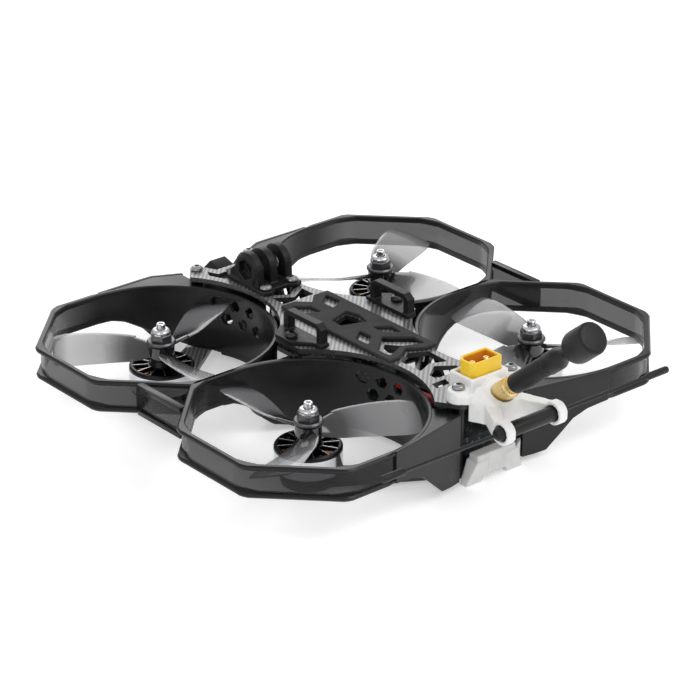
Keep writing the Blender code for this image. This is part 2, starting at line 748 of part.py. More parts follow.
board_at("speed_controller", 5.0, 18.0, 18.0, 0.0,
         [(-12.0, -4.0, -14.0, -5.0, 1.0), (4.0, 12.0, -14.0, -5.0, 1.0), (-12.0, -4.0, 5.0, 14.0, 1.0),
          (4.0, 12.0, 5.0, 14.0, 1.0)], holes=POSTS)
board_at("flight_controller", 12.0, 18.0, 18.0, 0.0,
         [(-4.0, 4.0, -4.0, 4.0, 1.0), (-12.0, -7.0, -6.0, 6.0, 2.2), (7.0, 12.0, -8.0, 2.0, 3.0)],
         holes=POSTS)
board_at("video_transmitter", 8.0, 9.8, 12.5, 72.0,
         [(-8.0, 8.0, -9.0, 8.0, 4.0)])

for index, (x, y) in enumerate(POSTS):
    place = f"{'front' if y < 0 else 'rear'}_{'left' if x > 0 else 'right'}"
    post = solid(f"stack_post_{place}", lambda bm: add_lathe(
        bm, [(0, 0.4), (1.5, 0.4), (1.5, 17.5), (0, 17.5)], 12, (x, y, 0)))
    finish(post, STEEL, 35)


# ---------------------------------------------------------------- top fittings

def pad_outline():
    return [(-12.5, -27.0), (-5.0, -27.0), (0.0, -22.0), (5.0, -27.0), (12.5, -27.0),
            (12.5, 41.0), (7.0, 41.0), (0.0, 36.5), (-7.0, 41.0), (-12.5, 41.0)]


def pad_holes(bm):
    z0 = TOP_Z1 - 1.0
    z1 = TOP_Z1 + 4.0
    for side in (1, -1):
        for ring in ([(9.3, -24.0), (9.8, -15.6), (3.2, -12.0), (3.0, -19.0)],
                     [(3.2, 12.0), (3.1, 19.0), (8.9, 24.0), (9.4, 16.8)]):
            add_prism(bm, [(side * x, y) for x, y in ring], z0, z1)
    add_prism(bm, [(5.4, -2.9), (5.9, 3.4), (-4.9, 7.2), (-6.7, -0.3), (-5.2, -6.3)], z0, z1)
    add_prism(bm, [(0, 22.2), (9.6, 30.6), (9.2, 37.6), (0, 33.6), (-9.2, 37.6), (-9.6, 30.6)], z0, z1)


battery_pad = solid("battery_pad", lambda bm: add_prism(
    bm, pad_outline(), TOP_Z1 + GAP, TOP_Z1 + GAP + PAD_T))
cut(battery_pad, pad_holes, "windows")
finish(battery_pad, RUBBER)

BRACKET_X = 23.0


def build_bracket(side, hand):
    """Inverted U that keeps the battery strap in place, on a screwed octagonal foot."""
    z0 = TOP_Z1 + GAP
    x = side * BRACKET_X
    base = [(20.6, -12.0), (25.4, -12.0), (31.8, -7.0), (31.8, 3.0), (25.6, 9.5), (25.4, 14.0), (20.6, 14.0)]
    part = solid(f"strap_bracket_{hand}", lambda bm: add_prism(
        bm, [(side * px, py) for px, py in base], z0, z0 + 1.6))
    frame = [(-10.0, z0 + 1.0), (-10.0, z0 + 8.0), (-7.5, z0 + 10.0), (11.0, z0 + 10.0), (13.5, z0 + 8.0),
             (13.5, z0 + 1.0)]
    join(part, lambda bm: add_prism(bm, frame, x - 1.9, x + 1.9, UPRIGHT), "frame")
    gap = [(-6.9, z0 + 1.6), (-6.9, z0 + 7.8), (10.6, z0 + 7.8), (10.6, z0 + 1.6)]
    cut(part, lambda bm: add_prism(bm, gap, x - 8.0, x + 8.0, UPRIGHT), "loop")
    cut(part, lambda bm: add_cylinder(bm, SCREW_BORE, z0 - 2, z0 + 4, (side * 28.0, -1.0, 0), steps=12),
        "screw")
    return finish(part, BLACK_PLASTIC)


build_bracket(1, "left")
build_bracket(-1, "right")

ACTION_Y = -54.2
ACTION_Z = 40.9
ACTION_FOOT = 1.8


def build_action_mount():
    """Three-finger clevis on a screwed base."""
    z0 = TOP_Z1 + GAP
    base = [(-9.8, -65.5), (-6.5, -71.0), (6.5, -71.0), (9.8, -65.5), (10.2, -47.0), (10.2, -41.0),
            (7.0, -39.5), (3.5, -42.0), (-3.5, -42.0), (-7.0, -39.5), (-10.2, -41.0), (-10.2, -47.0)]
    part = solid("action_camera_mount", lambda bm: add_prism(bm, base, z0, z0 + ACTION_FOOT))
    dome = arc(ACTION_Y, ACTION_Z, 7.6, 0.0, 180.0, 12)
    cheek = dome + [(-65.2, 38.0), (-65.2, z0 + 1.0), (-46.4, z0 + 1.0)]
    for index, (x0, x1) in enumerate(((-9.75, -6.05), (-1.85, 1.85), (5.5, 8.9))):
        join(part, lambda bm: add_prism(bm, cheek, x0, x1, UPRIGHT), f"finger_{index + 1}")
    join(part, lambda bm: add_cylinder(bm, 6.8, 8.5, 9.75, (0, ACTION_Y, ACTION_Z), (1, 0, 0), 16), "boss")
    cut(part, lambda bm: add_cylinder(bm, 2.6, -12, 12, (0, ACTION_Y, ACTION_Z), (1, 0, 0), 16), "pivot")
    cut(part, lambda bm: add_cylinder(bm, 4.6, 6.4, 12, (0, ACTION_Y, ACTION_Z), (1, 0, 0), 6), "nut_pocket")
    cut(part, lambda bm: [add_cylinder(bm, SCREW_BORE, z0 - 2, z0 + 4, (x, y, 0), steps=12)
                          for x, y in MOUNT_SCREWS], "screws")
    return finish(part, BLACK_PLASTIC, 30)


build_action_mount()

screw("corner_screw_front_left", 14.0, -81.5, TOP_Z1 + GAP, 8.0)
screw("corner_screw_front_right", -14.0, -81.5, TOP_Z1 + GAP, 8.0)
screw("bracket_screw_left", 28.0, -1.0, TOP_Z1 + GAP + 1.6 + GAP, 6.0)
screw("bracket_screw_right", -28.0, -1.0, TOP_Z1 + GAP + 1.6 + GAP, 6.0)
screw("mount_screw_left", 7.0, -43.6, TOP_Z1 + GAP + ACTION_FOOT + GAP, 7.0)
screw("mount_screw_right", -7.0, -43.6, TOP_Z1 + GAP + ACTION_FOOT + GAP, 7.0)


# ---------------------------------------------------------------- rear fittings

LOBE_TOP = 38.6


def build_rear_mount():
    """Soft mount that carries the plug and both antennas."""
    z0 = TOP_Z1 + GAP
    deck = [(-17.5, 80.0), (-14.5, 77.0), (14.5, 77.0), (17.5, 80.0), (17.5, 85.5), (14.0, 88.5),
            (-14.0, 88.5), (-17.5, 85.5)]
    part = solid("rear_mount", lambda bm: add_prism(bm, deck, z0, z0 + 3.6))
    for side in (1, -1):
        join(part, lambda bm: add_lathe(bm, [(0, z0), (4.6, z0), (4.2, LOBE_TOP), (0, LOBE_TOP)], 14,
                                        (side * 13.8, 82.7, 0)), "lobe_left" if side > 0 else "lobe_right")
    collar = [(-9.6, 72.6), (9.6, 72.6), (9.6, 85.8), (-9.6, 85.8)]
    join(part, lambda bm: add_prism(bm, collar, z0, 41.5), "collar")
    hump = [(-12.8, 87.6, 26.0), (12.8, 87.6, 26.0), (-12.8, 87.6, 35.0), (12.8, 87.6, 35.0),
            (-9.2, 87.4, 39.5), (9.2, 87.4, 39.5), (-8.0, 98.0, 26.0), (8.0, 98.0, 26.0),
            (-7.0, 97.0, 34.0), (7.0, 97.0, 34.0)]
    join(part, lambda bm: add_hull(bm, hump), "hump")
    for side in (1, -1):
        hand = "left" if side > 0 else "right"
        arm = [(side * 3.0, 94.0, 26.5), (side * 9.0, 92.0, 26.5), (side * 9.0, 92.0, 34.0),
               (side * 3.0, 95.0, 34.0), (side * 11.8, 107.0, 25.4), (side * 15.4, 105.0, 25.4),
               (side * 15.4, 105.0, 33.0), (side * 11.8, 107.0, 33.0)]
        join(part, lambda bm: add_hull(bm, arm), f"arm_{hand}")
        hook_x = 11.6 if side > 0 else -15.6
        join(part, lambda bm: add_cylinder(bm, 4.9, hook_x, hook_x + 4.0, (0, RX_Y, RX_Z), (1, 0, 0), 16),
             f"hook_{hand}")
    join(part, lambda bm: add_cylinder(bm, 6.6, -4.0, -0.1, VTX_BASE, VTX_AXIS, 14, 0.07), "antenna_seat")
    cut(part, lambda bm: add_prism(bm, box_ring(-7.9, 7.9, 74.2, 84.2), 30.0, 50.0), "plug_hole")
    cut(part, lambda bm: add_cylinder(bm, 3.5, -8.0, 12.0, VTX_BASE, VTX_AXIS, 12, 0.1), "antenna_hole")
    cut(part, lambda bm: add_cylinder(bm, 4.7, 0.0, 16.0, VTX_BASE, VTX_AXIS, 14, 0.13), "antenna_relief")
    cut(part, lambda bm: add_cylinder(bm, 3.4, -20.0, 20.0, (0, RX_Y, RX_Z), (1, 0, 0), 12), "whisker_hole")
    cut(part, lambda bm: [add_cylinder(bm, SCREW_BORE, 30.0, 45.0, (x, y, 0), steps=12)
                          for x, y in TOP_SCREWS[2:]], "screws")
    settle(part)
    return finish(part, WHITE_TPU, 35)


build_rear_mount()
screw("corner_screw_rear_left", 13.8, 82.7, LOBE_TOP + GAP, 12.0)
screw("corner_screw_rear_right", -13.8, 82.7, LOBE_TOP + GAP, 12.0)


def build_plug():
    """Two-pole battery connector, open at the top."""
    x = 7.6
    outline = [(-x, 74.5), (x - 2.2, 74.5), (x, 76.7), (x, 81.7), (x - 2.2, 83.9), (-x, 83.9)]
    plug = solid("battery_connector", lambda bm: add_prism(bm, outline, 34.5, 47.0))
    hollow = [(-x + 1.1, 75.6), (x - 2.7, 75.6), (x - 1.1, 77.2), (x - 1.1, 81.2), (x - 2.7, 82.8),
              (-x + 1.1, 82.8)]
    cut(plug, lambda bm: add_prism(bm, hollow, 38.0, 52.0), "socket")
    cut(plug, lambda bm: [add_cylinder(bm, 2.0, 30.0, 42.0, (side * 3.6, PLUG_Y, 0), steps=16)
                          for side in (1, -1)], "pin_holes")
    finish(plug, YELLOW)
    for side, name in ((1, "connector_pin_left"), (-1, "connector_pin_right")):
        pin = solid(name, lambda bm: add_lathe(
            bm, [(0, 34.6), (1.6, 34.6), (1.6, 44.8), (1.2, 45.6), (0, 45.6)], 12,
            (side * 3.6, PLUG_Y, 0)))
        finish(pin, GOLD, 35)


build_plug()


def wire(name, points, radius, look):
    """Round lead swept through its bends and turned into a closed solid."""
    data = bpy.data.curves.new(name, "CURVE")
    data.dimensions = "3D"
    data.bevel_depth = radius * MM
    data.bevel_resolution = 2
    data.use_fill_caps = True
    spline = data.splines.new("POLY")
    spline.points.add(len(points) - 1)
    for knot, point in zip(spline.points, points):
        knot.co = (point[0] * MM, point[1] * MM, point[2] * MM, 1.0)
    guide = bpy.data.objects.new(f"{name}_path", data)
    TOOLS.objects.link(guide)
    graph = bpy.context.evaluated_depsgraph_get()
    mesh = bpy.data.meshes.new_from_object(guide.evaluated_get(graph))
    bm = bmesh.new()
    bm.from_mesh(mesh)
    bmesh.ops.remove_doubles(bm, verts=bm.verts, dist=0.00001)
    bmesh.ops.recalc_face_normals(bm, faces=bm.faces)
    bm.to_mesh(mesh)
    bm.free()
    obj = bpy.data.objects.new(name, mesh)
    obj.matrix_world = guide.matrix_world.copy()
    DRONE.objects.link(obj)
    bpy.data.objects.remove(guide, do_unlink=True)
    return finish(obj, look, 40)


def bend(points, count=5):
    """Quadratic easing through three guide points."""
    a, b, c = (Vector(point) for point in points)
    run = []
    for step in range(count + 1):
        t = step / count
        run.append(tuple(a * (1 - t) ** 2 + b * 2 * t * (1 - t) + c * t ** 2))
    return run


# ---------------------------------------------------------------- antennas

antenna_socket = solid("antenna_socket", lambda bm: add_lathe(
    bm, [(0, -2.6), (3.1, -2.6), (3.1, 0.2), (4.2, 0.2), (4.2, 8.2), (3.4, 8.8), (3.4, 10.5), (0, 10.5)],
    20, VTX_BASE, VTX_AXIS))
finish(antenna_socket, GOLD, 35)

video_antenna = solid("video_antenna", lambda bm: add_lathe(
    bm, [(0, 10.8), (4.0, 10.8), (4.0, 31.5), (3.6, 32.4), (4.4, 33.4), (4.4, 41.0), (2.8, 44.0), (2.8, 49.0),
         (5.2, 49.9), (6.6, 52.6), (6.6, 62.6), (5.6, 63.6), (0, 63.6)], 24, VTX_BASE, VTX_AXIS))
finish(video_antenna, BLACK_PLASTIC, 35)

receiver_antenna = solid("receiver_antenna", lambda bm: add_lathe(
    bm, [(0, -75.0), (1.3, -74.6), (1.5, -74.0), (1.5, -64.5), (0.8, -63.0), (0.8, -18.0), (2.2, -17.5),
         (3.0, -16.0), (3.0, 16.0), (2.2, 17.5), (0.8, 18.0), (0.8, 63.0), (1.5, 64.5), (1.5, 74.0),
         (1.3, 74.6), (0, 75.0)], 12, (0, RX_Y, RX_Z), (1, 0, RX_SLOPE)))
finish(receiver_antenna, BLACK_PLASTIC, 35)


# ---------------------------------------------------------------- rear foot

def build_rear_foot():
    """Soft foot that closes the tail and lifts the belly off the ground."""
    part = solid("rear_foot_bracket", lambda bm: add_box(bm, -10.0, 10.0, 85.6, 90.6, 1.5, 11.0))
    for side in (1, -1):
        foot = [(side * 5.2, 85.6, 9.0), (side * 11.5, 85.6, 9.0), (side * 5.2, 91.5, 8.5),
                (side * 11.0, 91.5, 8.5), (side * 6.5, 85.6, -1.5), (side * 14.9, 85.6, -1.5),
                (side * 6.5, 89.4, -1.5), (side * 14.9, 89.4, -1.5)]
        join(part, lambda bm: add_hull(bm, foot), "foot_left" if side > 0 else "foot_right")
    for x in (-4.0, 4.0):
        cut(part, lambda bm: add_box(bm, x - 0.5, x + 0.5, 90.2, 99.0, -3.0, 20.0),
            "groove_left" if x > 0 else "groove_right")
    return finish(part, WHITE_TPU, 35)


build_rear_foot()

for x, name, look in ((3.6, "battery_lead_red", RED_WIRE), (-3.6, "battery_lead_black", BLACK_WIRE)):
    rise = bend([(x, 30.0, 20.0), (x, PLUG_Y, 20.0), (x, PLUG_Y, 30.0)], 10)
    wire(name, rise + [(x, PLUG_Y, 34.2)], 1.5, look)
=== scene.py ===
"""Visual model of the ducted racing drone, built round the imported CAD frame."""

import math

import bmesh
import bpy
from mathutils import Matrix, Vector


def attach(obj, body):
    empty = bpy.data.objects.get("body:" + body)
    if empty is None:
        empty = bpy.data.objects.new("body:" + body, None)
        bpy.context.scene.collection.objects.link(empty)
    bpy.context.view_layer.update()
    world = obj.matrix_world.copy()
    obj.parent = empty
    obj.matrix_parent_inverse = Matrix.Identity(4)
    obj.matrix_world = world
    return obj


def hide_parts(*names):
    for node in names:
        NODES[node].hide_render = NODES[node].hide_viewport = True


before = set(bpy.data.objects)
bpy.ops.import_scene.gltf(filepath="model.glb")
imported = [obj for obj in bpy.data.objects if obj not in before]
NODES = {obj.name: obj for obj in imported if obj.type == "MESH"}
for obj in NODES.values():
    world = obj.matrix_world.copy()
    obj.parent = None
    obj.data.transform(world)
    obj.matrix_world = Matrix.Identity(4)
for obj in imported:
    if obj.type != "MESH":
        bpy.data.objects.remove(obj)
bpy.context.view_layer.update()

MM = 0.001
BODY = "airframe"
CAMERA_BODY = "camera"

# Dimensions shared with the CAD solids, millimetres.
MOTOR_X = 59.0
MOTOR_Y = 47.0
GAP = 0.3
SPAN_X = 108.0
TOP_Z1 = 33.2
RIM_Z = 30.0
OUTER_Z = 16.4
INNER_Z = 0.6
BORE_R = 45.8
RIM_R = 48.4
WALL_T = 1.4
BEAD_H = 2.3
VENT_R = 2.9
BLADE_TIP_R = 44.2
BLADE_Z = 21.6
HUB_Z0 = 18.4
HUB_Z1 = 24.7
NUT_Z0 = 25.0
SHAFT_R = 1.8
SHAFT_TIP = 33.6
HUB_R = 5.4
CAM_Y = -76.0
CAM_Z = 20.0
CAM_TILT = 20.0
RX_Y = 108.3
RX_Z = 29.5
RX_SLOPE = 0.006
VTX_AXIS = Vector((0.0, 0.766, 0.643))
VTX_BASE = Vector((0.0, 91.5, 35.7))
PLUG_Y = 79.2
LOBE_TOP = 38.6
ACTION_FOOT = 1.8
PIN_X = 3.6
PIN_SLIT = 0.16

# Facets round a circle.
RING_STEPS = 192
SCREW_STEPS = 40

# The view: lens in millimetres, shift in picture widths, target and distance in metres.
CAMERA_LENS = 147.7935
CAMERA_SHIFT = (0.005066, -0.028963)
CAMERA_TARGET = Vector((0.0, 0.0, 0.030))
CAMERA_DISTANCE = 1.17036

MOTORS = {
    "front_left": (1, -1, -1, -36.0),
    "front_right": (-1, -1, 1, -148.0),
    "rear_left": (1, 1, 1, 153.0),
    "rear_right": (-1, 1, -1, -97.0),
}
BLADE_STATIONS = [
    # radius, chord, pitch angle, forward sweep, thickness, rise
    (3.2, 6.5, 32.0, 0.0, 2.4, -0.2),
    (7.5, 10.0, 30.0, 1.0, 2.0, 0.0),
    (13.0, 13.5, 27.0, 1.6, 1.7, 0.3),
    (20.0, 16.0, 23.0, 1.8, 1.4, 0.6),
    (29.0, 18.5, 20.0, 0.8, 1.2, 1.2),
    (39.0, 20.0, 17.0, -0.4, 1.0, 1.5),
    (BLADE_TIP_R, 18.0, 16.0, -1.0, 0.8, 1.5),
]


# ---------------------------------------------------------------- materials

class Look:
    """Node-building shorthand round one Principled material."""

    def __init__(self, name, **sockets):
        self.mat = bpy.data.materials.new(name)
        self.mat.use_nodes = True
        self.tree = self.mat.node_tree
        self.shader = self.tree.nodes["Principled BSDF"]
        for key, value in sockets.items():
            self.shader.inputs[key.replace("_", " ")].default_value = value
        self.coords = self.tree.nodes.new("ShaderNodeTexCoord").outputs["Object"]

    def node(self, kind, settings=None, **inputs):
        made = self.tree.nodes.new(kind)
        for key, value in (settings or {}).items():
            setattr(made, key, value)
        for key, value in inputs.items():
            slot = made.inputs[int(key[1:])] if key[0] == "i" and key[1:].isdigit() else made.inputs[key]
            self.feed(slot, value)
        return made

    def feed(self, slot, value):
        if isinstance(value, bpy.types.NodeSocket):
            self.tree.links.new(value, slot)
        else:
            slot.default_value = value

    def math(self, operation, a, b=0.0, clamp=False):
        settings = {"operation": operation, "use_clamp": clamp}
        return self.node("ShaderNodeMath", settings, i0=a, i1=b).outputs[0]

    def axis(self, letter):
        split = self.node("ShaderNodeSeparateXYZ", i0=self.coords)
        return split.outputs["XYZ".index(letter)]

    def radius(self):
        """Distance from the object's own Z axis, metres."""
        flat = self.node("ShaderNodeVectorMath", {"operation": "MULTIPLY"}, i0=self.coords, i1=(1, 1, 0))
        return self.node("ShaderNodeVectorMath", {"operation": "LENGTH"}, i0=flat.outputs[0]).outputs["Value"]

    def noise(self, scale, detail=3.0, rough=0.55, stretch=None):
        where = self.coords
        if stretch:
            scaled = self.node("ShaderNodeVectorMath", {"operation": "MULTIPLY"}, i0=where, i1=stretch)
            where = scaled.outputs[0]
        return self.node("ShaderNodeTexNoise", Vector=where, Scale=scale, Detail=detail,
                         Roughness=rough).outputs["Fac"]

    def span(self, value, low, high, start=0.0, end=1.0):
        made = self.node("ShaderNodeMapRange", Value=value)
        made.inputs["From Min"].default_value = start
        made.inputs["From Max"].default_value = end
        made.inputs["To Min"].default_value = low
        made.inputs["To Max"].default_value = high
        return made.outputs["Result"]

    def ramp(self, value, *stops):
        made = self.node("ShaderNodeValToRGB", Fac=value)
        ramp = made.color_ramp
        while len(ramp.elements) < len(stops):
            ramp.elements.new(0.5)
        for element, (at, color) in zip(ramp.elements, stops):
            element.position = at
            element.color = (*color, 1.0)
        return made.outputs["Color"]

    def mix(self, factor, a, b):
        made = self.node("ShaderNodeMix", {"data_type": "RGBA"}, Factor=factor)
        self.feed(made.inputs[6], a if isinstance(a, bpy.types.NodeSocket) else (*a, 1.0))
        self.feed(made.inputs[7], b if isinstance(b, bpy.types.NodeSocket) else (*b, 1.0))
        return made.outputs[2]

    def color(self, value):
        self.tree.links.new(value, self.shader.inputs["Base Color"])
        return self

    def rough(self, value):
        self.tree.links.new(value, self.shader.inputs["Roughness"])
        return self

    def bump(self, height, strength=0.3, distance=0.0002):
        made = self.node("ShaderNodeBump", Height=height, Strength=strength, Distance=distance)
        self.tree.links.new(made.outputs["Normal"], self.shader.inputs["Normal"])
        return self


def shade(color, factor):
    return tuple(min(channel * factor, 1.0) for channel in color)


def moulded(name, color, rough, grain=1400.0, depth=0.15, tint=0.18, **sockets):
    """Moulded or printed surface: mottled tone, fine grain and uneven gloss."""
    look = Look(name, **sockets)
    cloud = look.noise(grain / 14.0, 4.0)
    fine = look.noise(grain, 3.0)
    look.color(look.ramp(cloud, (0.3, shade(color, 1.0 - tint)), (0.7, shade(color, 1.0 + tint))))
    look.rough(look.span(fine, rough * 0.82, min(rough * 1.2, 1.0), 0.3, 0.7))
    look.bump(fine, depth, 0.0001)
    return look.mat


def metal(name, color, rough, stretch=(1.0, 1.0, 12.0), streak=900.0, depth=0.08, tint=0.12):
    """Turned or brushed metal with streaks along one direction."""
    look = Look(name, Metallic=1.0)
    lines = look.noise(streak, 3.0, 0.6, stretch)
    look.color(look.ramp(lines, (0.3, shade(color, 1.0 - tint)), (0.72, shade(color, 1.0 + tint))))
    look.rough(look.span(lines, rough * 0.75, rough * 1.3, 0.3, 0.7))
    look.bump(lines, depth, 0.00005)
    return look.mat


def carbon(name, tow=0.00062, light=(0.26, 0.263, 0.268), dark=(0.085, 0.086, 0.09)):
    """Two by two twill: tows pass over two and under two, stepping one place each row; the sheen of the tows
    and the shade in the grooves between them are painted into the colour.
    """
    look = Look(name, Metallic=0.2)
    look.shader.inputs["Coat Weight"].default_value = 0.2
    look.shader.inputs["Coat Roughness"].default_value = 0.12
    u = look.math("DIVIDE", look.axis("X"), tow)
    v = look.math("DIVIDE", look.axis("Y"), tow)
    cell = look.math("SUBTRACT", look.math("FLOOR", u), look.math("FLOOR", v))
    over = look.math("LESS_THAN", look.math("FLOORED_MODULO", cell, 4.0), 2.0)
    round_u = look.math("ABSOLUTE", look.math("SINE", look.math("MULTIPLY", u, math.pi)))
    round_v = look.math("ABSOLUTE", look.math("SINE", look.math("MULTIPLY", v, math.pi)))
    along_y = look.noise(2600.0, 2.0, 0.5, (1.0, 0.08, 1.0))
    along_x = look.noise(2600.0, 2.0, 0.5, (0.08, 1.0, 1.0))
    # Painted sheen: tows running one way are painted paler and the crossing tows darker, standing in for how
    # the fibres catch the light.
    lit_warp = look.ramp(along_y, (0.3, shade(light, 0.75)), (0.7, shade(light, 1.2)))
    unlit_weft = look.ramp(along_x, (0.3, shade(dark, 0.75)), (0.7, shade(dark, 1.3)))
    weave_sheen = look.mix(over, unlit_weft, lit_warp)
    crown = look.node("ShaderNodeMix", {"data_type": "FLOAT"}, Factor=over)
    look.feed(crown.inputs[2], round_v)
    look.feed(crown.inputs[3], round_u)
    # Painted shade: the colour darkens to near black towards the edges of each tow, in the grooves between
    # tows.
    groove = look.span(crown.outputs[0], 0.35, 1.0, 0.0, 0.55)
    shaded = look.mix(groove, (0.03, 0.03, 0.032), weave_sheen)
    normal = look.node("ShaderNodeNewGeometry").outputs["True Normal"]
    tilt = look.math("ABSOLUTE", look.node("ShaderNodeSeparateXYZ", i0=normal).outputs[2])
    layers = look.noise(5200.0, 2.0, 0.5, (0.1, 0.1, 1.0))
    edge = look.ramp(layers, (0.35, (0.012, 0.012, 0.013)), (0.7, (0.05, 0.05, 0.053)))
    look.color(look.mix(look.math("GREATER_THAN", tilt, 0.5), edge, shaded))
    look.rough(look.span(groove, 0.5, 0.3))
    look.bump(crown.outputs[0], 0.25, 0.00006)
    return look.mat


def smoked(name, color, alpha, rough=0.12, tint=0.2, shine=0.5):
    """Tinted clear polycarbonate with flow marks; towards the body the wall is made nearly opaque, painted
    shade for the dark inside seen through it.
    """
    look = Look(name, Alpha=alpha, IOR=1.58)
    if alpha < 0.9:
        # Painted shade: the wall turns nearly opaque towards the body, so it reads as dark as the shaded
        # inside behind it.
        beside = look.math("ABSOLUTE", look.axis("X"))
        depth = look.ramp(look.math("MULTIPLY", beside, 1.0 / (SPAN_X * MM)), (0.52, (0.97, 0.97, 0.97)),
                          (0.72, (alpha, alpha, alpha)))
        look.tree.links.new(depth, look.shader.inputs["Alpha"])
    look.shader.inputs["Specular IOR Level"].default_value = shine
    flow = look.noise(45.0, 3.0, 0.5, (1.0, 1.0, 2.2))
    look.color(look.ramp(flow, (0.35, shade(color, 1.0 - tint)), (0.7, shade(color, 1.0 + tint))))
    look.rough(look.span(look.noise(70.0, 2.0), rough * 0.85, rough * 1.25, 0.3, 0.7))
    look.bump(flow, 0.06, 0.0004)
    return look.mat


def blade_look():
    """Smoked blades: dark at the root and clearer towards the middle, where a pale band is painted reflection
    of the lamps.
    """
    look = Look("prop_polycarbonate", IOR=1.58)
    look.shader.inputs["Coat Weight"].default_value = 0.5
    look.shader.inputs["Coat Roughness"].default_value = 0.06
    out = look.math("DIVIDE", look.radius(), 0.0445)
    # Painted reflection: the colour rises from near black at the root to pale grey in the middle of the
    # blade, then darkens again at the tip.
    tone_and_reflection = look.ramp(out, (0.12, (0.008, 0.008, 0.0085)), (0.32, (0.03, 0.03, 0.032)),
                     (0.55, (0.26, 0.26, 0.268)), (0.85, (0.34, 0.34, 0.35)), (1.0, (0.14, 0.14, 0.145)))
    look.color(tone_and_reflection)
    clear = look.ramp(out, (0.12, (1.0, 1.0, 1.0)), (0.32, (0.9, 0.9, 0.9)), (0.55, (0.56, 0.56, 0.56)),
                      (0.85, (0.5, 0.5, 0.5)), (1.0, (0.72, 0.72, 0.72)))
    look.tree.links.new(clear, look.shader.inputs["Alpha"])
    look.rough(look.span(look.noise(90.0, 2.0), 0.1, 0.16, 0.3, 0.7))
    look.bump(look.noise(90.0, 2.0), 0.1, 0.0003)
    return look.mat


def copper_look():
    """Enamelled wire laid in rings round the motor axis."""
    look = Look("copper_windings", Metallic=0.9)
    wave = look.node("ShaderNodeTexWave", {"wave_type": "RINGS", "rings_direction": "Z"},
                     Vector=look.coords, Scale=700.0, Distortion=0.6)
    look.color(look.ramp(wave.outputs["Fac"], (0.1, (0.3, 0.11, 0.04)), (0.8, (0.95, 0.52, 0.25))))
    look.rough(look.span(wave.outputs["Fac"], 0.5, 0.28))
    look.bump(wave.outputs["Fac"], 0.6, 0.0001)
    return look.mat


def print_look(name, color):
    """Flexible printed plastic with faint layer lines."""
    look = Look(name)
    look.shader.inputs["Subsurface Weight"].default_value = 0.08
    look.shader.inputs["Subsurface Scale"].default_value = 0.002
    lines = look.math("SINE", look.math("MULTIPLY", look.axis("Z"), math.tau / 0.00028))
    cloud = look.noise(160.0, 4.0)
    look.color(look.ramp(cloud, (0.3, shade(color, 0.93)), (0.7, shade(color, 1.03))))
    look.rough(look.span(look.noise(2200.0, 2.0), 0.38, 0.6, 0.3, 0.7))
    look.bump(lines, 0.10, 0.00004)
    return look.mat


def board_look():
    """Black solder mask over copper tracks, with pale solder pads."""
    look = Look("circuit_board")
    cells = look.node("ShaderNodeTexVoronoi", {"distance": "CHEBYCHEV"}, Vector=look.coords, Scale=620.0)
    track = look.node("ShaderNodeTexBrick", Vector=look.coords, Scale=900.0)
    mask = look.ramp(track.outputs["Fac"], (0.2, (0.012, 0.02, 0.024)), (0.8, (0.03, 0.05, 0.055)))
    pads = look.math("LESS_THAN", cells.outputs["Distance"], 0.16)
    look.color(look.mix(pads, mask, (0.55, 0.5, 0.36)))
    look.rough(look.span(pads, 0.35, 0.25))
    look.bump(track.outputs["Fac"], 0.3, 0.00005)
    return look.mat


CARBON = carbon("carbon_twill")
CARBON_SIDE = moulded("carbon_cheek", (0.03, 0.03, 0.032), 0.35, 1800.0)
SMOKED_WALL = smoked("smoked_wall", (0.011, 0.011, 0.012), 0.70, 0.2, shine=0.2)
SMOKED_RIM = smoked("smoked_rim", (0.006, 0.006, 0.0065), 1.0, 0.3, shine=0.25)
SMOKED_PANEL = smoked("smoked_panel", (0.012, 0.012, 0.013), 1.0, 0.3, shine=0.25)
BLACK = moulded("black_nylon", (0.008, 0.008, 0.0085), 0.42, 1100.0, 0.08, Specular_IOR_Level=0.25)
BLACK_SATIN = moulded("black_sleeve", (0.008, 0.008, 0.0085), 0.42, 900.0, 0.12, Specular_IOR_Level=0.3)
RUBBER = moulded("pad_rubber", (0.035, 0.035, 0.036), 0.8, 2600.0, 0.4, Specular_IOR_Level=0.25)
WHITE = print_look("white_print", (0.80, 0.80, 0.79))
FOOT_WHITE = print_look("foot_print", (0.62, 0.62, 0.615))
YELLOW = moulded("yellow_nylon", (0.85, 0.56, 0.02), 0.35, 1500.0, 0.1, 0.06)
# Painted shade: a deeper orange for the yellow nylon inside the plug's cavity.
SHADED_YELLOW = moulded("connector_cavity_shade", (0.75, 0.26, 0.02), 0.4, 1500.0, 0.1, 0.08)
GOLD = metal("gold_plate", (0.83, 0.62, 0.28), 0.25)
STEEL = metal("bright_steel", (0.6, 0.6, 0.62), 0.24)
SCREW_STEEL = metal("screw_steel", (0.33, 0.33, 0.34), 0.3)
DARK_SCREW = metal("dark_screw", (0.06, 0.06, 0.062), 0.35)
HEX_STEEL = metal("hex_steel", (0.13, 0.13, 0.135), 0.36)
BLACK_METAL = metal("anodised_black", (0.022, 0.022, 0.024), 0.32)
SKIRT = metal("polished_skirt", (0.62, 0.62, 0.65), 0.16, (1.0, 1.0, 30.0))
COPPER = copper_look()
PROP = blade_look()
BOARD = board_look()
RED_WIRE = moulded("red_silicone", (0.5, 0.02, 0.02), 0.5, 1200.0)
BLACK_WIRE = moulded("black_silicone", (0.02, 0.02, 0.02), 0.5, 1200.0)
GLASS = moulded("coated_lens", (0.012, 0.012, 0.03), 0.06, 500.0, 0.0, 0.4)


# ---------------------------------------------------------------- mesh helpers

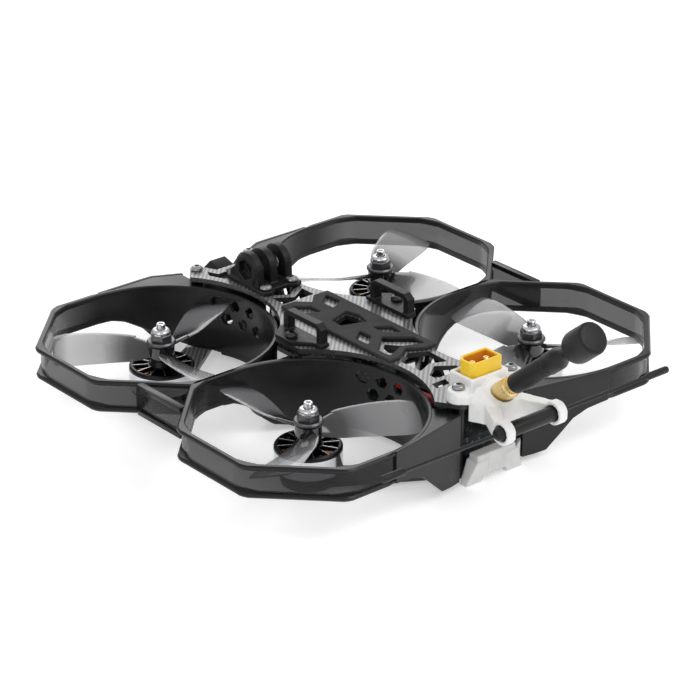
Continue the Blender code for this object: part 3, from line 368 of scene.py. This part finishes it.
def drawn(draw):
    bm = bmesh.new()
    draw(bm)
    bmesh.ops.remove_doubles(bm, verts=bm.verts, dist=0.0005)
    bmesh.ops.recalc_face_normals(bm, faces=bm.faces)
    bmesh.ops.scale(bm, vec=(MM, MM, MM), verts=bm.verts)
    return bm


def raw(name, draw):
    """Linked object from a drawing in millimetres."""
    bm = drawn(draw)
    mesh = bpy.data.meshes.new(name)
    bm.to_mesh(mesh)
    bm.free()
    obj = bpy.data.objects.new(name, mesh)
    bpy.context.scene.collection.objects.link(obj)
    return obj


def bake(obj):
    """Apply every modifier."""
    graph = bpy.context.evaluated_depsgraph_get()
    mesh = bpy.data.meshes.new_from_object(obj.evaluated_get(graph))
    obj.modifiers.clear()
    obj.data = mesh
    return obj


def combine(obj, operation, draw):
    tool = raw(f"{obj.name}_tool", draw)
    step = obj.modifiers.new("boolean", "BOOLEAN")
    step.operation = operation
    step.solver = "EXACT"
    step.object = tool
    bake(obj)
    bpy.data.objects.remove(tool, do_unlink=True)
    return obj


def cut(obj, draw):
    return combine(obj, "DIFFERENCE", draw)


def join(obj, draw):
    return combine(obj, "UNION", draw)


def finish(obj, mat, nodes=(), body=BODY, smooth=35.0, bevel=0.0, segments=2):
    """Round the edges, shade, give the look and attach to its CAD body."""
    obj.data.materials.clear()
    obj.data.materials.append(mat)
    if bevel:
        edges = obj.modifiers.new("edges", "BEVEL")
        edges.width = bevel * MM
        edges.segments = segments
        edges.limit_method = "ANGLE"
        edges.angle_limit = math.radians(32.0)
        edges.harden_normals = False
        bake(obj)
    obj.data.shade_smooth()
    obj.data.set_sharp_from_angle(angle=math.radians(smooth))
    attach(obj, body)
    if nodes:
        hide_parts(*nodes)
    return obj


def part(name, draw, mat, nodes=(), body=BODY, smooth=35.0, bevel=0.0, segments=2, at=None):
    obj = raw(name, draw)
    if at is not None:
        obj.matrix_world = at
    return finish(obj, mat, nodes, body, smooth, bevel, segments)


def add_box(bm, x0, x1, y0, y1, z0, z1, turn=None):
    made = bmesh.ops.create_cube(bm, size=1.0)["verts"]
    bmesh.ops.scale(bm, vec=(x1 - x0, y1 - y0, z1 - z0), verts=made)
    bmesh.ops.translate(bm, vec=((x0 + x1) / 2, (y0 + y1) / 2, (z0 + z1) / 2), verts=made)
    if turn is not None:
        bmesh.ops.transform(bm, matrix=turn, verts=made)
    return made


def add_prism(bm, outline, z0, z1, turn=None):
    """Plan outline pulled up from z0 to z1, then turned if asked."""
    low = [bm.verts.new((x, y, z0)) for x, y in outline]
    high = [bm.verts.new((x, y, z1)) for x, y in outline]
    count = len(outline)
    bm.faces.new(list(reversed(low)))
    bm.faces.new(high)
    for index in range(count):
        after = (index + 1) % count
        bm.faces.new((low[index], low[after], high[after], high[index]))
    if turn is not None:
        bmesh.ops.transform(bm, matrix=turn, verts=low + high)


def along(axis):
    """Rotation that takes +Z to the axis."""
    return Vector((0, 0, 1)).rotation_difference(Vector(axis).normalized()).to_matrix().to_4x4()


def add_lathe(bm, profile, steps, centre=(0, 0, 0), axis=(0, 0, 1), start=0.0, radial=None):
    """Profile of (radius, height) turned round an axis; radial(angle) scales the radius."""
    place = Matrix.Translation(Vector(centre)) @ along(axis)
    rings = []
    for radius, height in profile:
        if radius < 1e-6:
            rings.append([bm.verts.new(place @ Vector((0, 0, height)))])
            continue
        ring = []
        for step in range(steps):
            angle = start + math.tau * step / steps
            reach = radius * (radial(angle) if radial else 1.0)
            point = Vector((reach * math.cos(angle), reach * math.sin(angle), height))
            ring.append(bm.verts.new(place @ point))
        rings.append(ring)
    closed = profile[0][0] > 1e-6
    pairs = list(zip(rings, rings[1:])) + ([(rings[-1], rings[0])] if closed else [])
    for near, far in pairs:
        if len(near) == 1 and len(far) == 1:
            continue
        for step in range(steps):
            after = (step + 1) % steps
            if len(near) == 1:
                bm.faces.new((near[0], far[after], far[step]))
            elif len(far) == 1:
                bm.faces.new((near[step], near[after], far[0]))
            else:
                bm.faces.new((near[step], near[after], far[after], far[step]))


def fluted(angle, flutes, depth):
    """Radius factor of a surface with shallow flutes round it."""
    return 1.0 - depth * (0.5 + 0.5 * math.cos(flutes * angle))


def add_cylinder(bm, radius, z0, z1, centre=(0, 0, 0), axis=(0, 0, 1), steps=48, start=0.0):
    add_lathe(bm, [(0, z0), (radius, z0), (radius, z1), (0, z1)], steps, centre, axis, start)


def arc(cx, cy, radius, start, end, count):
    points = []
    for step in range(count + 1):
        angle = math.radians(start + (end - start) * step / count)
        points.append((cx + radius * math.cos(angle), cy + radius * math.sin(angle)))
    return points


def softened(name, node, mat, voxel=0.35, rounds=6, body=BODY):
    """Copy of a CAD solid with every edge run into a small fillet."""
    bm = bmesh.new()
    bm.from_mesh(NODES[node].data)
    bmesh.ops.remove_doubles(bm, verts=bm.verts, dist=1e-6)
    mesh = bpy.data.meshes.new(name)
    bm.to_mesh(mesh)
    bm.free()
    obj = bpy.data.objects.new(name, mesh)
    bpy.context.scene.collection.objects.link(obj)
    skin = obj.modifiers.new("skin", "REMESH")
    skin.mode = "VOXEL"
    skin.voxel_size = voxel * MM
    ease = obj.modifiers.new("ease", "SMOOTH")
    ease.factor = 0.5
    ease.iterations = rounds
    bake(obj)
    return finish(obj, mat, (node,), body, 180.0)


# ---------------------------------------------------------------- plates

for plate in ("top_plate", "bottom_plate"):
    NODES[plate].data.materials.clear()
    NODES[plate].data.materials.append(CARBON)
for cheek in ("camera_plate_left", "camera_plate_right"):
    NODES[cheek].data.materials.clear()
    NODES[cheek].data.materials.append(CARBON_SIDE)


# ---------------------------------------------------------------- ducts

def angle_at(x, y):
    return math.degrees(math.atan2(y - MOTOR_Y, x - MOTOR_X)) % 360.0


def ring_radius(angle, apothem, corner):
    """Octagonal on the outboard half, round inboard."""
    wrapped = (angle + 180.0) % 360.0 - 180.0
    if abs(wrapped) > 90.0:
        return apothem
    fold = (wrapped + 22.5) % 45.0 - 22.5
    return min(apothem / math.cos(math.radians(fold)), apothem * corner)


def wall_bottom(angle):
    wrapped = (angle + 180.0) % 360.0 - 180.0
    if -84.0 <= wrapped <= 92.0:
        return OUTER_Z
    inward = (angle - 90.0) % 360.0
    stations = [
        (0.0, OUTER_Z), (10.0, 16.2), (17.0, 14.7), (23.0, 12.2), (31.0, 8.8),
        (45.0, 4.0), (60.0, INNER_Z), (148.0, INNER_Z), (158.0, 1.9),
        (164.4, 5.9), (168.3, 9.7), (173.7, 13.0), (180.0, 15.4), (190.0, OUTER_Z),
    ]
    for (a0, z0), (a1, z1) in zip(stations, stations[1:]):
        if a0 <= inward <= a1:
            return z0 + (z1 - z0) * (inward - a0) / (a1 - a0)
    return OUTER_Z


def add_duct_ring(bm, mirror, bead):
    """Wall or bead of one duct, as a closed band round the bore."""
    seam = -0.6 if mirror < 0 else -0.75
    rows = []
    for step in range(RING_STEPS):
        angle = 360.0 * step / RING_STEPS
        toward = Vector((math.cos(math.radians(angle)), math.sin(math.radians(angle))))
        inner = ring_radius(angle, BORE_R, 1.045)
        outer = max(ring_radius(angle, RIM_R, 1.07), inner + WALL_T + 0.6)
        if abs((angle + 180.0) % 360.0 - 180.0) > 90.0:
            outer = BORE_R + 2.2
        low = wall_bottom(angle)
        if bead == "wall":
            section = [(inner + 0.1, RIM_Z - 1.2), (inner + 0.1, low + 1.2),
                       (inner + WALL_T, low + 1.2), (inner + WALL_T, RIM_Z - 1.2)]
        else:
            base = RIM_Z if bead == "rim" else low
            way = -1.0 if bead == "rim" else 1.0
            section = [(inner, base + way * 0.5), (inner + 0.5, base), (outer - 0.7, base),
                       (outer, base + way * 0.7), (outer, base + way * (BEAD_H - 0.9)),
                       (outer - 0.7, base + way * (BEAD_H - 0.2)), (inner + WALL_T, base + way * BEAD_H),
                       (inner, base + way * BEAD_H)]
        row = []
        for radius, height in section:
            x = MOTOR_X + radius * toward.x
            y = max(MOTOR_Y + radius * toward.y, seam)
            row.append(bm.verts.new((x, mirror * y, height)))
        rows.append(row)
    for step in range(RING_STEPS):
        near = rows[step]
        far = rows[(step + 1) % RING_STEPS]
        for index in range(len(near)):
            after = (index + 1) % len(near)
            bm.faces.new((near[index], near[after], far[after], far[index]))


def add_corner_panel(bm, sign):
    if sign > 0:
        stations = [(56.0, 95.2, 16.6), (46.0, 93.6, 15.2), (39.5, 92.3, 12.4), (33.0, 91.0, 6.4),
                    (27.5, 89.8, 1.4), (22.0, 88.7, 0.9), (16.6, 87.6, 0.9)]
    else:
        stations = [(56.0, 95.2, 16.6), (46.0, 95.2, 15.2), (39.5, 95.2, 12.4), (33.0, 95.2, 6.4),
                    (28.5, 95.0, 1.4), (22.0, 91.8, 0.9), (16.6, 89.2, 0.9)]
    rows = []
    for x, y, low in stations:
        row = [(x, y, low), (x, y, RIM_Z), (x, y - WALL_T, RIM_Z), (x, y - WALL_T, low)]
        rows.append([bm.verts.new((px, sign * py, pz)) for px, py, pz in row])
    for near, far in zip(rows, rows[1:]):
        for index in range(4):
            after = (index + 1) % 4
            bm.faces.new((near[index], near[after], far[after], far[index]))
    bm.faces.new(rows[0])
    bm.faces.new(rows[-1])


def add_corner_web(bm, sign):
    edge = [(54.0, 94.2), (46.0, 92.9), (33.0, 90.3), (17.2, 87.0), (17.2, 80.0), (21.5, 75.4)]
    if sign < 0:
        edge = [(54.0, 94.4), (30.0, 94.4), (17.2, 88.6), (17.2, 80.0), (21.5, 75.4)]
    rim = arc(MOTOR_X, MOTOR_Y, BORE_R + 0.8, angle_at(22.5, 75.4), 97.0, 30)
    add_prism(bm, [(x, sign * y) for x, y in edge + rim], RIM_Z - 1.6, RIM_Z - 0.2)


def add_vents(bm):
    """Honeycomb vents in the wall beside the body."""
    for sign in (1, -1):
        for height, offsets in ((24.7, (-17.5, -9.0, 0.0)), (18.0, (-13.0, -4.2, 4.5))):
            for offset in offsets:
                centre = (6.0, sign * MOTOR_Y + offset, height)
                add_cylinder(bm, VENT_R, 0.0, 16.0, centre, (1, 0, 0), 6, math.pi / 6)


def arm_clearance(bm):
    """Way through the lower wall for both carbon arms."""
    for sign in (1, -1):
        start = Vector((9.0, 82.0))
        end = Vector((MOTOR_X, MOTOR_Y))
        ahead = (end - start).normalized()
        beside = Vector((-ahead.y, ahead.x)) * 11.6
        outline = [start + beside, end + beside, end - beside, start - beside]
        add_prism(bm, [(p.x, sign * p.y) for p in outline], -1.0, 2.4)


def flip(obj):
    """Mirror a finished mesh to the right-hand side."""
    obj.data.transform(Matrix.Scale(-1.0, 4, Vector((1, 0, 0))))
    obj.data.flip_normals()
    return obj


def build_duct(hand):
    right = hand == "right"
    node = f"{hand}_duct"
    for place, mirror in (("rear", 1), ("front", -1)):
        for bead, look in (("wall", SMOKED_WALL), ("rim", SMOKED_RIM), ("foot", SMOKED_RIM)):
            piece = raw(f"duct_{hand}_{place}_{bead}", lambda bm: add_duct_ring(bm, mirror, bead))
            if bead == "wall":
                cut(piece, add_vents)
            if bead != "rim":
                cut(piece, arm_clearance)
            if right:
                flip(piece)
            nodes = (node,) if bead == "wall" and place == "rear" else ()
            finish(piece, look, nodes, BODY, 30.0)
        for label, draw, look in (
                ("panel", add_corner_panel, SMOKED_PANEL), ("web", add_corner_web, SMOKED_RIM)):
            piece = raw(f"duct_{hand}_{place}_{label}", lambda bm: draw(bm, mirror))
            if right:
                flip(piece)
            finish(piece, look, (), BODY, 20.0, 0.2)
    for label, box, look in (
            ("bridge_wall", (93.6, 95.0, -15.5, 15.5, OUTER_Z + 0.3, RIM_Z - 0.3), SMOKED_WALL),
            ("bridge_rim", (92.8, 95.8, -13.9, 13.9, RIM_Z - 2.3, RIM_Z - 0.1), SMOKED_RIM),
            ("bridge_foot", (92.8, 95.8, -13.9, 13.9, OUTER_Z + 0.1, OUTER_Z + 2.3), SMOKED_RIM)):
        piece = raw(f"duct_{hand}_{label}", lambda bm: add_box(bm, *box))
        if right:
            flip(piece)
        finish(piece, look, (), BODY, 35.0, 0.3)


for hand in ("left", "right"):
    build_duct(hand)


# ---------------------------------------------------------------- motors and propellers

def eased(rows, count):
    """Catmull-Rom run through the blade stations."""
    out = []
    last = len(rows) - 1
    for step in range(count + 1):
        place = last * step / count
        index = min(int(place), last - 1)
        t = place - index
        p0, p1, p2, p3 = (rows[max(0, min(last, index + k))] for k in (-1, 0, 1, 2))
        out.append(tuple(
            0.5 * (2 * b + (c - a) * t + (2 * a - 5 * b + 4 * c - d) * t * t
                   + (3 * b - a - 3 * c + d) * t ** 3)
            for a, b, c, d in zip(p0, p1, p2, p3)))
    return out


def add_blade(bm, hand, turn):
    """Cambered blade lofted through eased stations."""
    around = 22
    rows = []
    for radius, chord, pitch, sweep, thick, rise in eased(BLADE_STATIONS, 34):
        tilt = math.radians(pitch)
        row = []
        for step in range(around):
            angle = math.tau * step / around
            along_chord = 0.5 * math.cos(angle)
            camber = 0.9 * (0.25 - along_chord ** 2)
            body = math.sin(angle) * (0.42 + 0.16 * math.cos(angle))
            a = along_chord * chord
            t = (body + camber) * thick
            y = a * math.cos(tilt) - t * math.sin(tilt) + sweep
            z = a * math.sin(tilt) + t * math.cos(tilt)
            reach = math.sqrt(max(radius ** 2 - y ** 2, 0.0)) if radius > 12.0 else radius
            row.append(bm.verts.new(turn @ Vector((reach, hand * y, BLADE_Z + rise + z))))
        rows.append(row)
    for near, far in zip(rows, rows[1:]):
        for index in range(around):
            after = (index + 1) % around
            bm.faces.new((near[index], near[after], far[after], far[index]))
    bm.faces.new(rows[0])
    bm.faces.new(rows[-1])


def build_prop(corner, hand, spin, at, body):
    prop = raw(f"prop_{corner}", lambda bm: add_lathe(
        bm, [(0, HUB_Z0), (HUB_R - 0.5, HUB_Z0), (HUB_R, HUB_Z0 + 0.5), (HUB_R, HUB_Z1 - 0.5),
             (HUB_R - 0.5, HUB_Z1), (0, HUB_Z1)], 48))
    for step in range(3):
        turn = Matrix.Rotation(math.tau * step / 3, 4, "Z")
        join(prop, lambda bm: add_blade(bm, hand, turn))
    cut(prop, lambda bm: add_cylinder(bm, SHAFT_R + GAP, 10.0, 30.0, steps=32))
    prop.data.transform(Matrix.Rotation(math.radians(spin), 4, "Z"))
    prop.matrix_world = at
    return finish(prop, PROP, (f"propeller_{corner}",), body, 38.0)


def build_motor(corner, sx, sy, hand, spin):
    here = Matrix.Translation(Vector((sx * MOTOR_X, sy * MOTOR_Y, 0.0)) * MM)
    body = f"rotor_{corner}"
    stator = f"stator_{corner}"
    bell = f"motor_bell_{corner}"
    part(f"motor_base_{corner}", lambda bm: add_lathe(
        bm, [(2.2, 2.3), (9.5, 2.3), (12.8, 4.5), (12.8, 5.7), (5.0, 5.7), (5.0, 12.2), (2.2, 12.2)], 64),
        BLACK_METAL, (stator,), BODY, 30.0, 0.15, at=here)

    def coils(bm):
        for step in range(9):
            turn = Matrix.Rotation(math.tau * (step + 0.5) / 9, 4, "Z")
            outline = [(5.3, -1.2), (10.6, -2.9), (11.2, -2.4), (11.2, 2.4), (10.6, 2.9), (5.3, 1.2)]
            add_prism(bm, outline, 7.2, 12.3, turn)

    windings = part(f"windings_{corner}", coils, COPPER, (), BODY, 40.0, 0.7, 3, at=here)

    def cap(bm):
        add_lathe(bm, [(SHAFT_R, 14.2), (13.4, 14.2), (13.5, 15.0), (12.9, 15.75), (5.2, 15.8),
                       (4.6, HUB_Z0 - GAP), (SHAFT_R, HUB_Z0 - GAP)], 96)

    top = raw(f"bell_cap_{corner}", cap)

    def windows(bm):
        for step in range(12):
            turn = Matrix.Rotation(math.tau * (step + 0.5) / 12, 4, "Z")
            add_prism(bm, [(5.9, -1.0), (11.7, -2.55), (11.7, 2.55), (5.9, 1.0)], 13.0, 17.0, turn)

    cut(top, windows)
    top.matrix_world = here
    finish(top, BLACK_METAL, (bell,), body, 30.0, 0.18)
    skirt = part(f"bell_skirt_{corner}", lambda bm: add_lathe(
        bm, [(12.4, 6.2), (13.45, 6.2), (13.5, 6.4), (13.5, 14.1), (12.4, 14.1)], 96),
        SKIRT, (), body, 30.0, at=here)

    def spoke_edges(bm):
        for step in range(12):
            turn = Matrix.Rotation(math.tau * step / 12, 4, "Z")
            add_box(bm, 5.8, 12.2, -0.16, 0.16, 15.7, 15.95, turn)

    bright = part(f"bell_spokes_{corner}", spoke_edges, STEEL, (), body, 30.0, 0.05, 1, at=here)

    def magnets(bm):
        for step in range(12):
            turn = Matrix.Rotation(math.tau * (step + 0.25) / 12, 4, "Z")
            add_box(bm, 11.75, 12.5, -2.4, 2.4, 7.0, 13.6, turn)

    ring = part(f"bell_magnets_{corner}", magnets, HEX_STEEL, (), body, 30.0, 0.1, 1, at=here)
    shaft = part(f"shaft_{corner}", lambda bm: add_lathe(
        bm, [(0, 5.0), (SHAFT_R, 5.0), (SHAFT_R, SHAFT_TIP - 0.3), (SHAFT_R - 0.3, SHAFT_TIP),
             (1.05, SHAFT_TIP), (0.95, SHAFT_TIP - 0.2), (0.95, SHAFT_TIP - 2.0), (0, SHAFT_TIP - 2.2)], 32),
        STEEL, (), body, 30.0, at=here)
    build_prop(corner, hand, spin, here, body)
    nut = f"prop_nut_{corner}"
    part(f"nut_flange_{corner}", lambda bm: add_lathe(
        bm, [(2.1, NUT_Z0), (5.8, NUT_Z0), (6.0, NUT_Z0 + 0.2), (5.9, 25.8), (5.4, 26.4), (2.1, 26.4)], 64),
        HEX_STEEL, (nut,), body, 30.0, at=here)
    hexagon = part(f"nut_hex_{corner}", lambda bm: add_lathe(
        bm, [(2.2, 26.3), (4.7, 26.3), (4.7, 28.9), (4.3, 29.4), (2.2, 29.4)], 6), HEX_STEEL, (), body, 30.0,
        0.25, 3, at=here)
    crimp = part(f"nut_collar_{corner}", lambda bm: add_lathe(
        bm, [(2.1, 29.3), (3.9, 29.3), (3.95, 30.0), (3.7, 30.7), (3.0, 31.3), (2.1, 31.3)], 72,
        radial=lambda angle: fluted(angle, 18, 0.025)), STEEL, (), body, 50.0, at=here)


for corner, facts in MOTORS.items():
    build_motor(corner, *facts)


# ---------------------------------------------------------------- screws

def build_screw(node, x, y, seat, shank, look):
    """Button head screw with a hexagon socket."""
    bolt = raw(f"bolt_{node}", lambda bm: add_lathe(
        bm, [(0, seat - shank), (1.0, seat - shank), (1.0, seat), (2.5, seat), (2.6, seat + 0.3),
             (2.4, seat + 1.0), (1.9, seat + 1.45), (1.3, seat + 1.65), (0, seat + 1.7)],
        SCREW_STEPS, (x, y, 0)))
    cut(bolt, lambda bm: add_cylinder(bm, 1.15, seat + 0.5, seat + 3.0, (x, y, 0), steps=6))
    return finish(bolt, look, (node,), BODY, 30.0)


TOP_SEAT = TOP_Z1 + GAP
for side, hand in ((1, "left"), (-1, "right")):
    build_screw(f"corner_screw_front_{hand}", side * 14.0, -81.5, TOP_SEAT, 8.0, SCREW_STEEL)
    build_screw(f"bracket_screw_{hand}", side * 28.0, -1.0, TOP_SEAT + 1.6 + GAP, 6.0, DARK_SCREW)
    build_screw(f"mount_screw_{hand}", side * 7.0, -43.6, TOP_SEAT + ACTION_FOOT + GAP, 7.0, SCREW_STEEL)
    build_screw(f"corner_screw_rear_{hand}", side * 13.8, 82.7, LOBE_TOP + GAP, 12.0, SCREW_STEEL)


# ---------------------------------------------------------------- soft mouldings and top fittings

softened("tail_mount", "rear_mount", WHITE, 0.4, 6)
softened("tail_foot", "rear_foot_bracket", FOOT_WHITE, 0.4, 4)
softened("nose_clevis", "action_camera_mount", BLACK, 0.35, 4)
softened("strap_guide_left", "strap_bracket_left", BLACK, 0.3, 3)
softened("strap_guide_right", "strap_bracket_right", BLACK, 0.3, 3)
softened("grip_pad", "battery_pad", RUBBER, 0.3, 2)


# ---------------------------------------------------------------- battery connector

def plug_outline(inset):
    x = 7.6 - inset
    nip = 2.2 - inset * 0.4
    return [(-x, 74.5 + inset), (x - nip, 74.5 + inset), (x, 76.7 + inset * 0.6), (x, 81.7 - inset * 0.6),
            (x - nip, 83.9 - inset), (-x, 83.9 - inset)]


plug = raw("plug_shell", lambda bm: add_prism(bm, plug_outline(0.0), 34.5, 47.0))
cut(plug, lambda bm: add_prism(bm, plug_outline(1.0), 38.0, 52.0))
cut(plug, lambda bm: [add_cylinder(bm, 2.0, 30.0, 42.0, (side * PIN_X, PLUG_Y, 0)) for side in (1, -1)])
finish(plug, YELLOW, ("battery_connector",), BODY, 30.0, 0.3, 3)
# Painted shade: the walls of the plug's cavity and the collars round the pins get the deeper orange.
shade_lining = raw("plug_cavity_shade", lambda bm: add_prism(bm, plug_outline(0.95), 38.05, 46.3))
cut(shade_lining, lambda bm: add_prism(bm, plug_outline(1.15), 37.0, 48.0))
finish(shade_lining, SHADED_YELLOW, (), BODY, 30.0)
collar_shade = part("plug_collar_shade", lambda bm: [add_lathe(
    bm, [(1.75, 38.1), (2.7, 38.1), (2.7, 41.5), (1.75, 41.5)], 32, (side * PIN_X, PLUG_Y, 0))
    for side in (1, -1)],
    SHADED_YELLOW, (), BODY, 30.0, 0.15)
for side, hand in ((1, "left"), (-1, "right")):
    pin = raw(f"plug_pin_{hand}", lambda bm: add_lathe(
        bm, [(0, 34.6), (1.6, 34.6), (1.6, 44.7), (1.45, 45.2), (1.0, 45.6), (0, 45.6)], 32,
        (side * PIN_X, PLUG_Y, 0)))
    for half_x, half_y in ((PIN_SLIT, 3), (3, PIN_SLIT)):
        cut(pin, lambda bm: add_box(
            bm, side * PIN_X - half_x, side * PIN_X + half_x, PLUG_Y - half_y, PLUG_Y + half_y, 40.0, 48.0))
    finish(pin, GOLD, (f"connector_pin_{hand}",), BODY, 30.0)


# ---------------------------------------------------------------- antennas

part("socket_sma", lambda bm: add_lathe(
    bm, [(0, -2.6), (3.1, -2.6), (3.1, 0.2), (3.9, 0.2), (4.2, 0.5), (4.2, 7.9), (3.9, 8.2), (3.4, 8.4),
         (3.4, 10.5), (0, 10.5)],
    112, VTX_BASE, VTX_AXIS, radial=lambda angle: fluted(angle, 28, 0.03)),
    GOLD, ("antenna_socket",), BODY, 40.0)
part("mushroom_antenna", lambda bm: add_lathe(
    bm, [(0, 10.8), (3.7, 10.8), (4.0, 11.1), (4.0, 31.2), (3.7, 31.9), (3.55, 32.5), (3.7, 33.0),
         (4.2, 33.3), (4.4, 33.9), (4.4, 40.4), (4.2, 41.1), (3.5, 42.6), (2.95, 43.9), (2.8, 44.6),
         (2.8, 48.4), (3.1, 48.9), (4.6, 49.5), (5.4, 50.1), (6.1, 51.2), (6.5, 52.4), (6.6, 53.4),
         (6.6, 62.0), (6.35, 62.9), (5.7, 63.45), (5.0, 63.6), (0, 63.6)],
    96, VTX_BASE, VTX_AXIS), BLACK_SATIN, ("video_antenna",), BODY, 34.0)
part("whisker_antenna", lambda bm: add_lathe(
    bm, [(0, -75.0), (1.3, -74.8), (1.5, -74.2), (1.5, -64.5), (1.2, -63.4), (0.8, -62.8), (0.8, -18.0),
         (1.9, -17.7), (2.5, -17.0), (3.0, -15.6), (3.0, 15.6), (2.5, 17.0), (1.9, 17.7), (0.8, 18.0),
         (0.8, 62.8), (1.2, 63.4), (1.5, 64.5), (1.5, 74.2), (1.3, 74.8), (0, 75.0)], 32,
    (0, RX_Y, RX_Z), (1, 0, RX_SLOPE)), BLACK_SATIN, ("receiver_antenna",), BODY, 40.0)


# ---------------------------------------------------------------- nose camera

TILTED = (Matrix.Translation(Vector((0.0, CAM_Y, CAM_Z)) * MM)
          @ Matrix.Rotation(math.radians(-CAM_TILT), 4, "X"))
shell = raw("camera_shell", lambda bm: add_box(bm, -9.5, 9.5, -8.0, 7.0, -8.5, 8.5))
join(shell, lambda bm: add_lathe(bm, [(0, -13.5), (10.2, -13.5), (10.2, -7.0), (0, -7.0)], 8,
                                 axis=(0, 1, 0), start=math.pi / 8))
cut(shell, lambda bm: add_cylinder(bm, 5.6, -14.5, -6.0, axis=(0, 1, 0), steps=64))
shell.matrix_world = TILTED
finish(shell, BLACK, ("fpv_camera",), CAMERA_BODY, 30.0, 0.4, 3)
part("camera_objective", lambda bm: add_lathe(
    bm, [(0, -6.3), (5.3, -6.3), (5.3, -10.8), (4.9, -11.2), (4.2, -11.2), (4.0, -10.9), (3.9, -11.1),
         (3.0, -11.9), (1.6, -12.45), (0, -12.6)], 64, axis=(0, 1, 0)),
    GLASS, ("camera_lens",), CAMERA_BODY, 40.0, at=TILTED)
for side, hand in ((1, "left"), (-1, "right")):
    part(f"tilt_screw_{hand}", lambda bm: add_lathe(
        bm, [(0, 7.0), (1.0, 7.0), (1.0, 11.3), (2.2, 11.3), (2.2, 11.7), (2.0, 12.3), (1.0, 12.6),
             (0.9, 12.0), (0, 12.0)], 32, axis=(side, 0, 0)),
        STEEL, (f"camera_pivot_screw_{hand}",), CAMERA_BODY, 30.0, at=TILTED)


# ---------------------------------------------------------------- parts inside the body

for name, node in NODES.items():
    look = None
    if name in ("flight_controller", "speed_controller", "video_transmitter"):
        look = BOARD
    elif name.startswith(("standoff", "stack_post")):
        look = BLACK_METAL
    elif name == "battery_lead_red":
        look = RED_WIRE
    elif name == "battery_lead_black":
        look = BLACK_WIRE
    if look:
        node.data.materials.clear()
        node.data.materials.append(look)


# ---------------------------------------------------------------- floor, light and camera

def build_stage():
    floor = raw("floor", lambda bm: add_box(bm, -9000, 9000, -9000, 9000, -6.6, -1.6))
    look = Look("floor_paint", Roughness=0.9)
    look.color(look.ramp(look.noise(3.0, 2.0), (0.3, (0.86, 0.86, 0.86)), (0.7, (0.88, 0.88, 0.88))))
    look.shader.inputs["Emission Color"].default_value = (1.0, 1.0, 1.0, 1.0)
    look.shader.inputs["Emission Strength"].default_value = 0.35
    floor.data.materials.append(look.mat)
    world = bpy.data.worlds.new("studio")
    bpy.context.scene.world = world
    world.use_nodes = True
    sky = world.node_tree.nodes["Background"]
    sky.inputs["Color"].default_value = (1.0, 1.0, 1.0, 1.0)
    sky.inputs["Strength"].default_value = 0.72
    for name, place, size, power in (
            ("key", (-0.5, 1.0, 1.3), 0.9, 8.5),
            ("fill", (1.4, 0.5, 0.8), 1.1, 4.5),
            ("back", (-0.7, -1.3, 0.9), 1.0, 6.5)):
        data = bpy.data.lights.new(name, "AREA")
        data.size = size
        data.energy = power
        lamp = bpy.data.objects.new(name, data)
        lamp.location = place
        lamp.rotation_euler = (-Vector(place)).to_track_quat("-Z", "Y").to_euler()
        bpy.context.scene.collection.objects.link(lamp)


def build_camera():
    """The lens looks down at the drone's rear left corner."""
    azimuth = math.radians(139.661)
    elevation = math.radians(24.744)
    roll = math.radians(0.236)
    back = Vector((math.sin(azimuth) * math.cos(elevation), -math.cos(azimuth) * math.cos(elevation),
                   math.sin(elevation)))
    right = Vector((math.cos(azimuth), math.sin(azimuth), 0.0))
    up = back.cross(right)
    leaned_right = right * math.cos(roll) + up * math.sin(roll)
    leaned_up = back.cross(leaned_right)
    data = bpy.data.cameras.new("camera")
    data.sensor_width = 36.0
    data.lens = CAMERA_LENS
    data.shift_x, data.shift_y = CAMERA_SHIFT
    data.clip_start = 0.01
    camera = bpy.data.objects.new("camera", data)
    place = Matrix((leaned_right, leaned_up, back)).transposed().to_4x4()
    place.translation = CAMERA_TARGET + back * CAMERA_DISTANCE
    camera.matrix_world = place
    bpy.context.scene.collection.objects.link(camera)
    bpy.context.scene.camera = camera


build_stage()
build_camera()
bpy.context.scene.view_settings.view_transform = "Standard"
